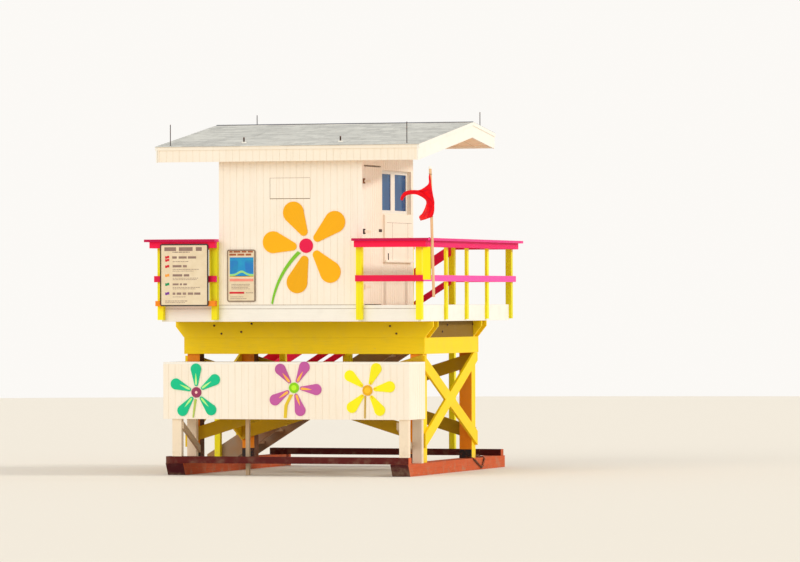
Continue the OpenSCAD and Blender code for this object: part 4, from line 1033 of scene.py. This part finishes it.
def fly_cloth(rows=56, columns=44):
    bm = bmesh.new()
    uv = bm.loops.layers.uv.new("UVMap")
    net = [[bm.verts.new(cloth_point(i / rows, j / columns)) for j in range(columns + 1)]
           for i in range(rows + 1)]
    for i in range(rows):
        for j in range(columns):
            face = bm.faces.new((net[i][j], net[i + 1][j], net[i + 1][j + 1], net[i][j + 1]))
            face.smooth = True
            for loop, (di, dj) in zip(face.loops, ((0, 0), (1, 0), (1, 1), (0, 1))):
                loop[uv].uv = ((j + dj) / columns * 0.70, (i + di) / rows * 0.62)
    area = sum(face.calc_area() for face in bm.faces)
    cloth = as_object(bm, "flag_cloth", CLOTH)
    hem = cloth.modifiers.new("thickness", "SOLIDIFY")
    hem.thickness, hem.offset = 0.0015, 0.0
    bpy.context.view_layer.update()
    mesh = bpy.data.meshes.new_from_object(cloth.evaluated_get(bpy.context.evaluated_depsgraph_get()))
    cloth.modifiers.remove(hem)
    cloth.data = mesh
    return cloth, area


cloth, cloth_area = fly_cloth()
stands_for(cloth, "flag")


def ring(bm, centre, radius, tube, tilt, around=24, section=8):
    """A closed wire ring about the upright axis, tipped by tilt."""
    turn = Matrix.Translation(centre) @ Matrix.Rotation(tilt, 4, "Y")
    net = []
    for i in range(around):
        a = i * math.tau / around
        loop = []
        for j in range(section):
            b = j * math.tau / section
            out = radius + tube * math.cos(b)
            spot = Vector((out * math.cos(a), out * math.sin(a), tube * math.sin(b)))
            loop.append(bm.verts.new(turn @ spot))
        net.append(loop)
    for i in range(around):
        here, after = net[i], net[(i + 1) % around]
        for j in range(section):
            k = (j + 1) % section
            bm.faces.new((here[j], after[j], after[k], here[k]))


bm = bmesh.new()
for z in (4292, 3690):
    ring(bm, at(pole_x(z), -127, z), 0.0235, 0.0022, 0.1)
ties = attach(as_object(bm, "flag_rings", DARK), "tower")


# Camera, lamps and floor

# Pixels of the photo for a metre along the front, back into depth, and square to the view
ALONG, DEEP, PER_METRE = 66.4, 21.6, 69.85
OFF_LEFT, OFF_DOWN, PHOTO_WIDTH, SENSOR = 109.5, 19, 800, 36
DISTANCE, ROLL = 76.0, -0.15
right = Vector((ALONG, DEEP, 0)).normalized()
ahead = Vector((-right.y, right.x, 0))
eye = at(0, 0, 2510) - ahead * DISTANCE + right * (OFF_LEFT / PER_METRE)
lens = bpy.data.cameras.new("camera")
lens.sensor_width, lens.clip_end = SENSOR, 400
lens.lens = PER_METRE * DISTANCE * SENSOR / PHOTO_WIDTH
lens.shift_y = OFF_DOWN / PHOTO_WIDTH
camera = placed("camera", lens)
camera.matrix_world = (Matrix.Translation(eye) @ ahead.to_track_quat("-Z", "Y").to_matrix().to_4x4()
                       @ Matrix.Rotation(math.radians(ROLL), 4, "Z"))
bpy.context.scene.camera = camera

middle = at(0, 1500, 2400)


def sun(name, strength, aside, spread):
    """A soft sun from one side of the tower's middle, as wide as spread in degrees."""
    data = bpy.data.lights.new(name, "SUN")
    data.energy, data.color, data.angle = strength, (1.0, 0.97, 0.92), math.radians(spread)
    place = middle + Vector(aside)
    placed(name, data).matrix_world = Matrix.Translation(place) @ (
        middle - place).to_track_quat("-Z", "Y").to_matrix().to_4x4()


sun("sun_side", 1.3, (9, 1.0, 4.3), 7)
sun("front_fill", 0.85, (-4, -10, 5), 40)

world = bpy.data.worlds.new("sky")
bpy.context.scene.world = world
world.use_nodes = True
sky = Sheet(world.node_tree)
seen = sky.node("ShaderNodeLightPath", out="Is Camera Ray")
glossy = sky.node("ShaderNodeLightPath", out="Is Glossy Ray")
through = sky.node("ShaderNodeLightPath", out="Is Transmission Ray")
# The sky lights the tower at 0.76, and is seen and reflected at 0.97
bright = (seen + glossy + through).math("MINIMUM", 1.0)
ambient = world.node_tree.nodes["Background"]
sky.feed(ambient.inputs["Color"], (1.0, 0.978, 0.945, 1))
sky.feed(ambient.inputs["Strength"], bright * 0.21 + 0.76)

ground_finish = Finish("pale_floor", roughness=0.9)
ground_finish.done(srgb(236, 230, 218))
bm = bmesh.new()
bmesh.ops.create_circle(bm, cap_ends=True, radius=60, segments=64)
floor = as_object(bm, "floor", ground_finish.material)

bpy.context.scene.view_settings.view_transform = "Standard"
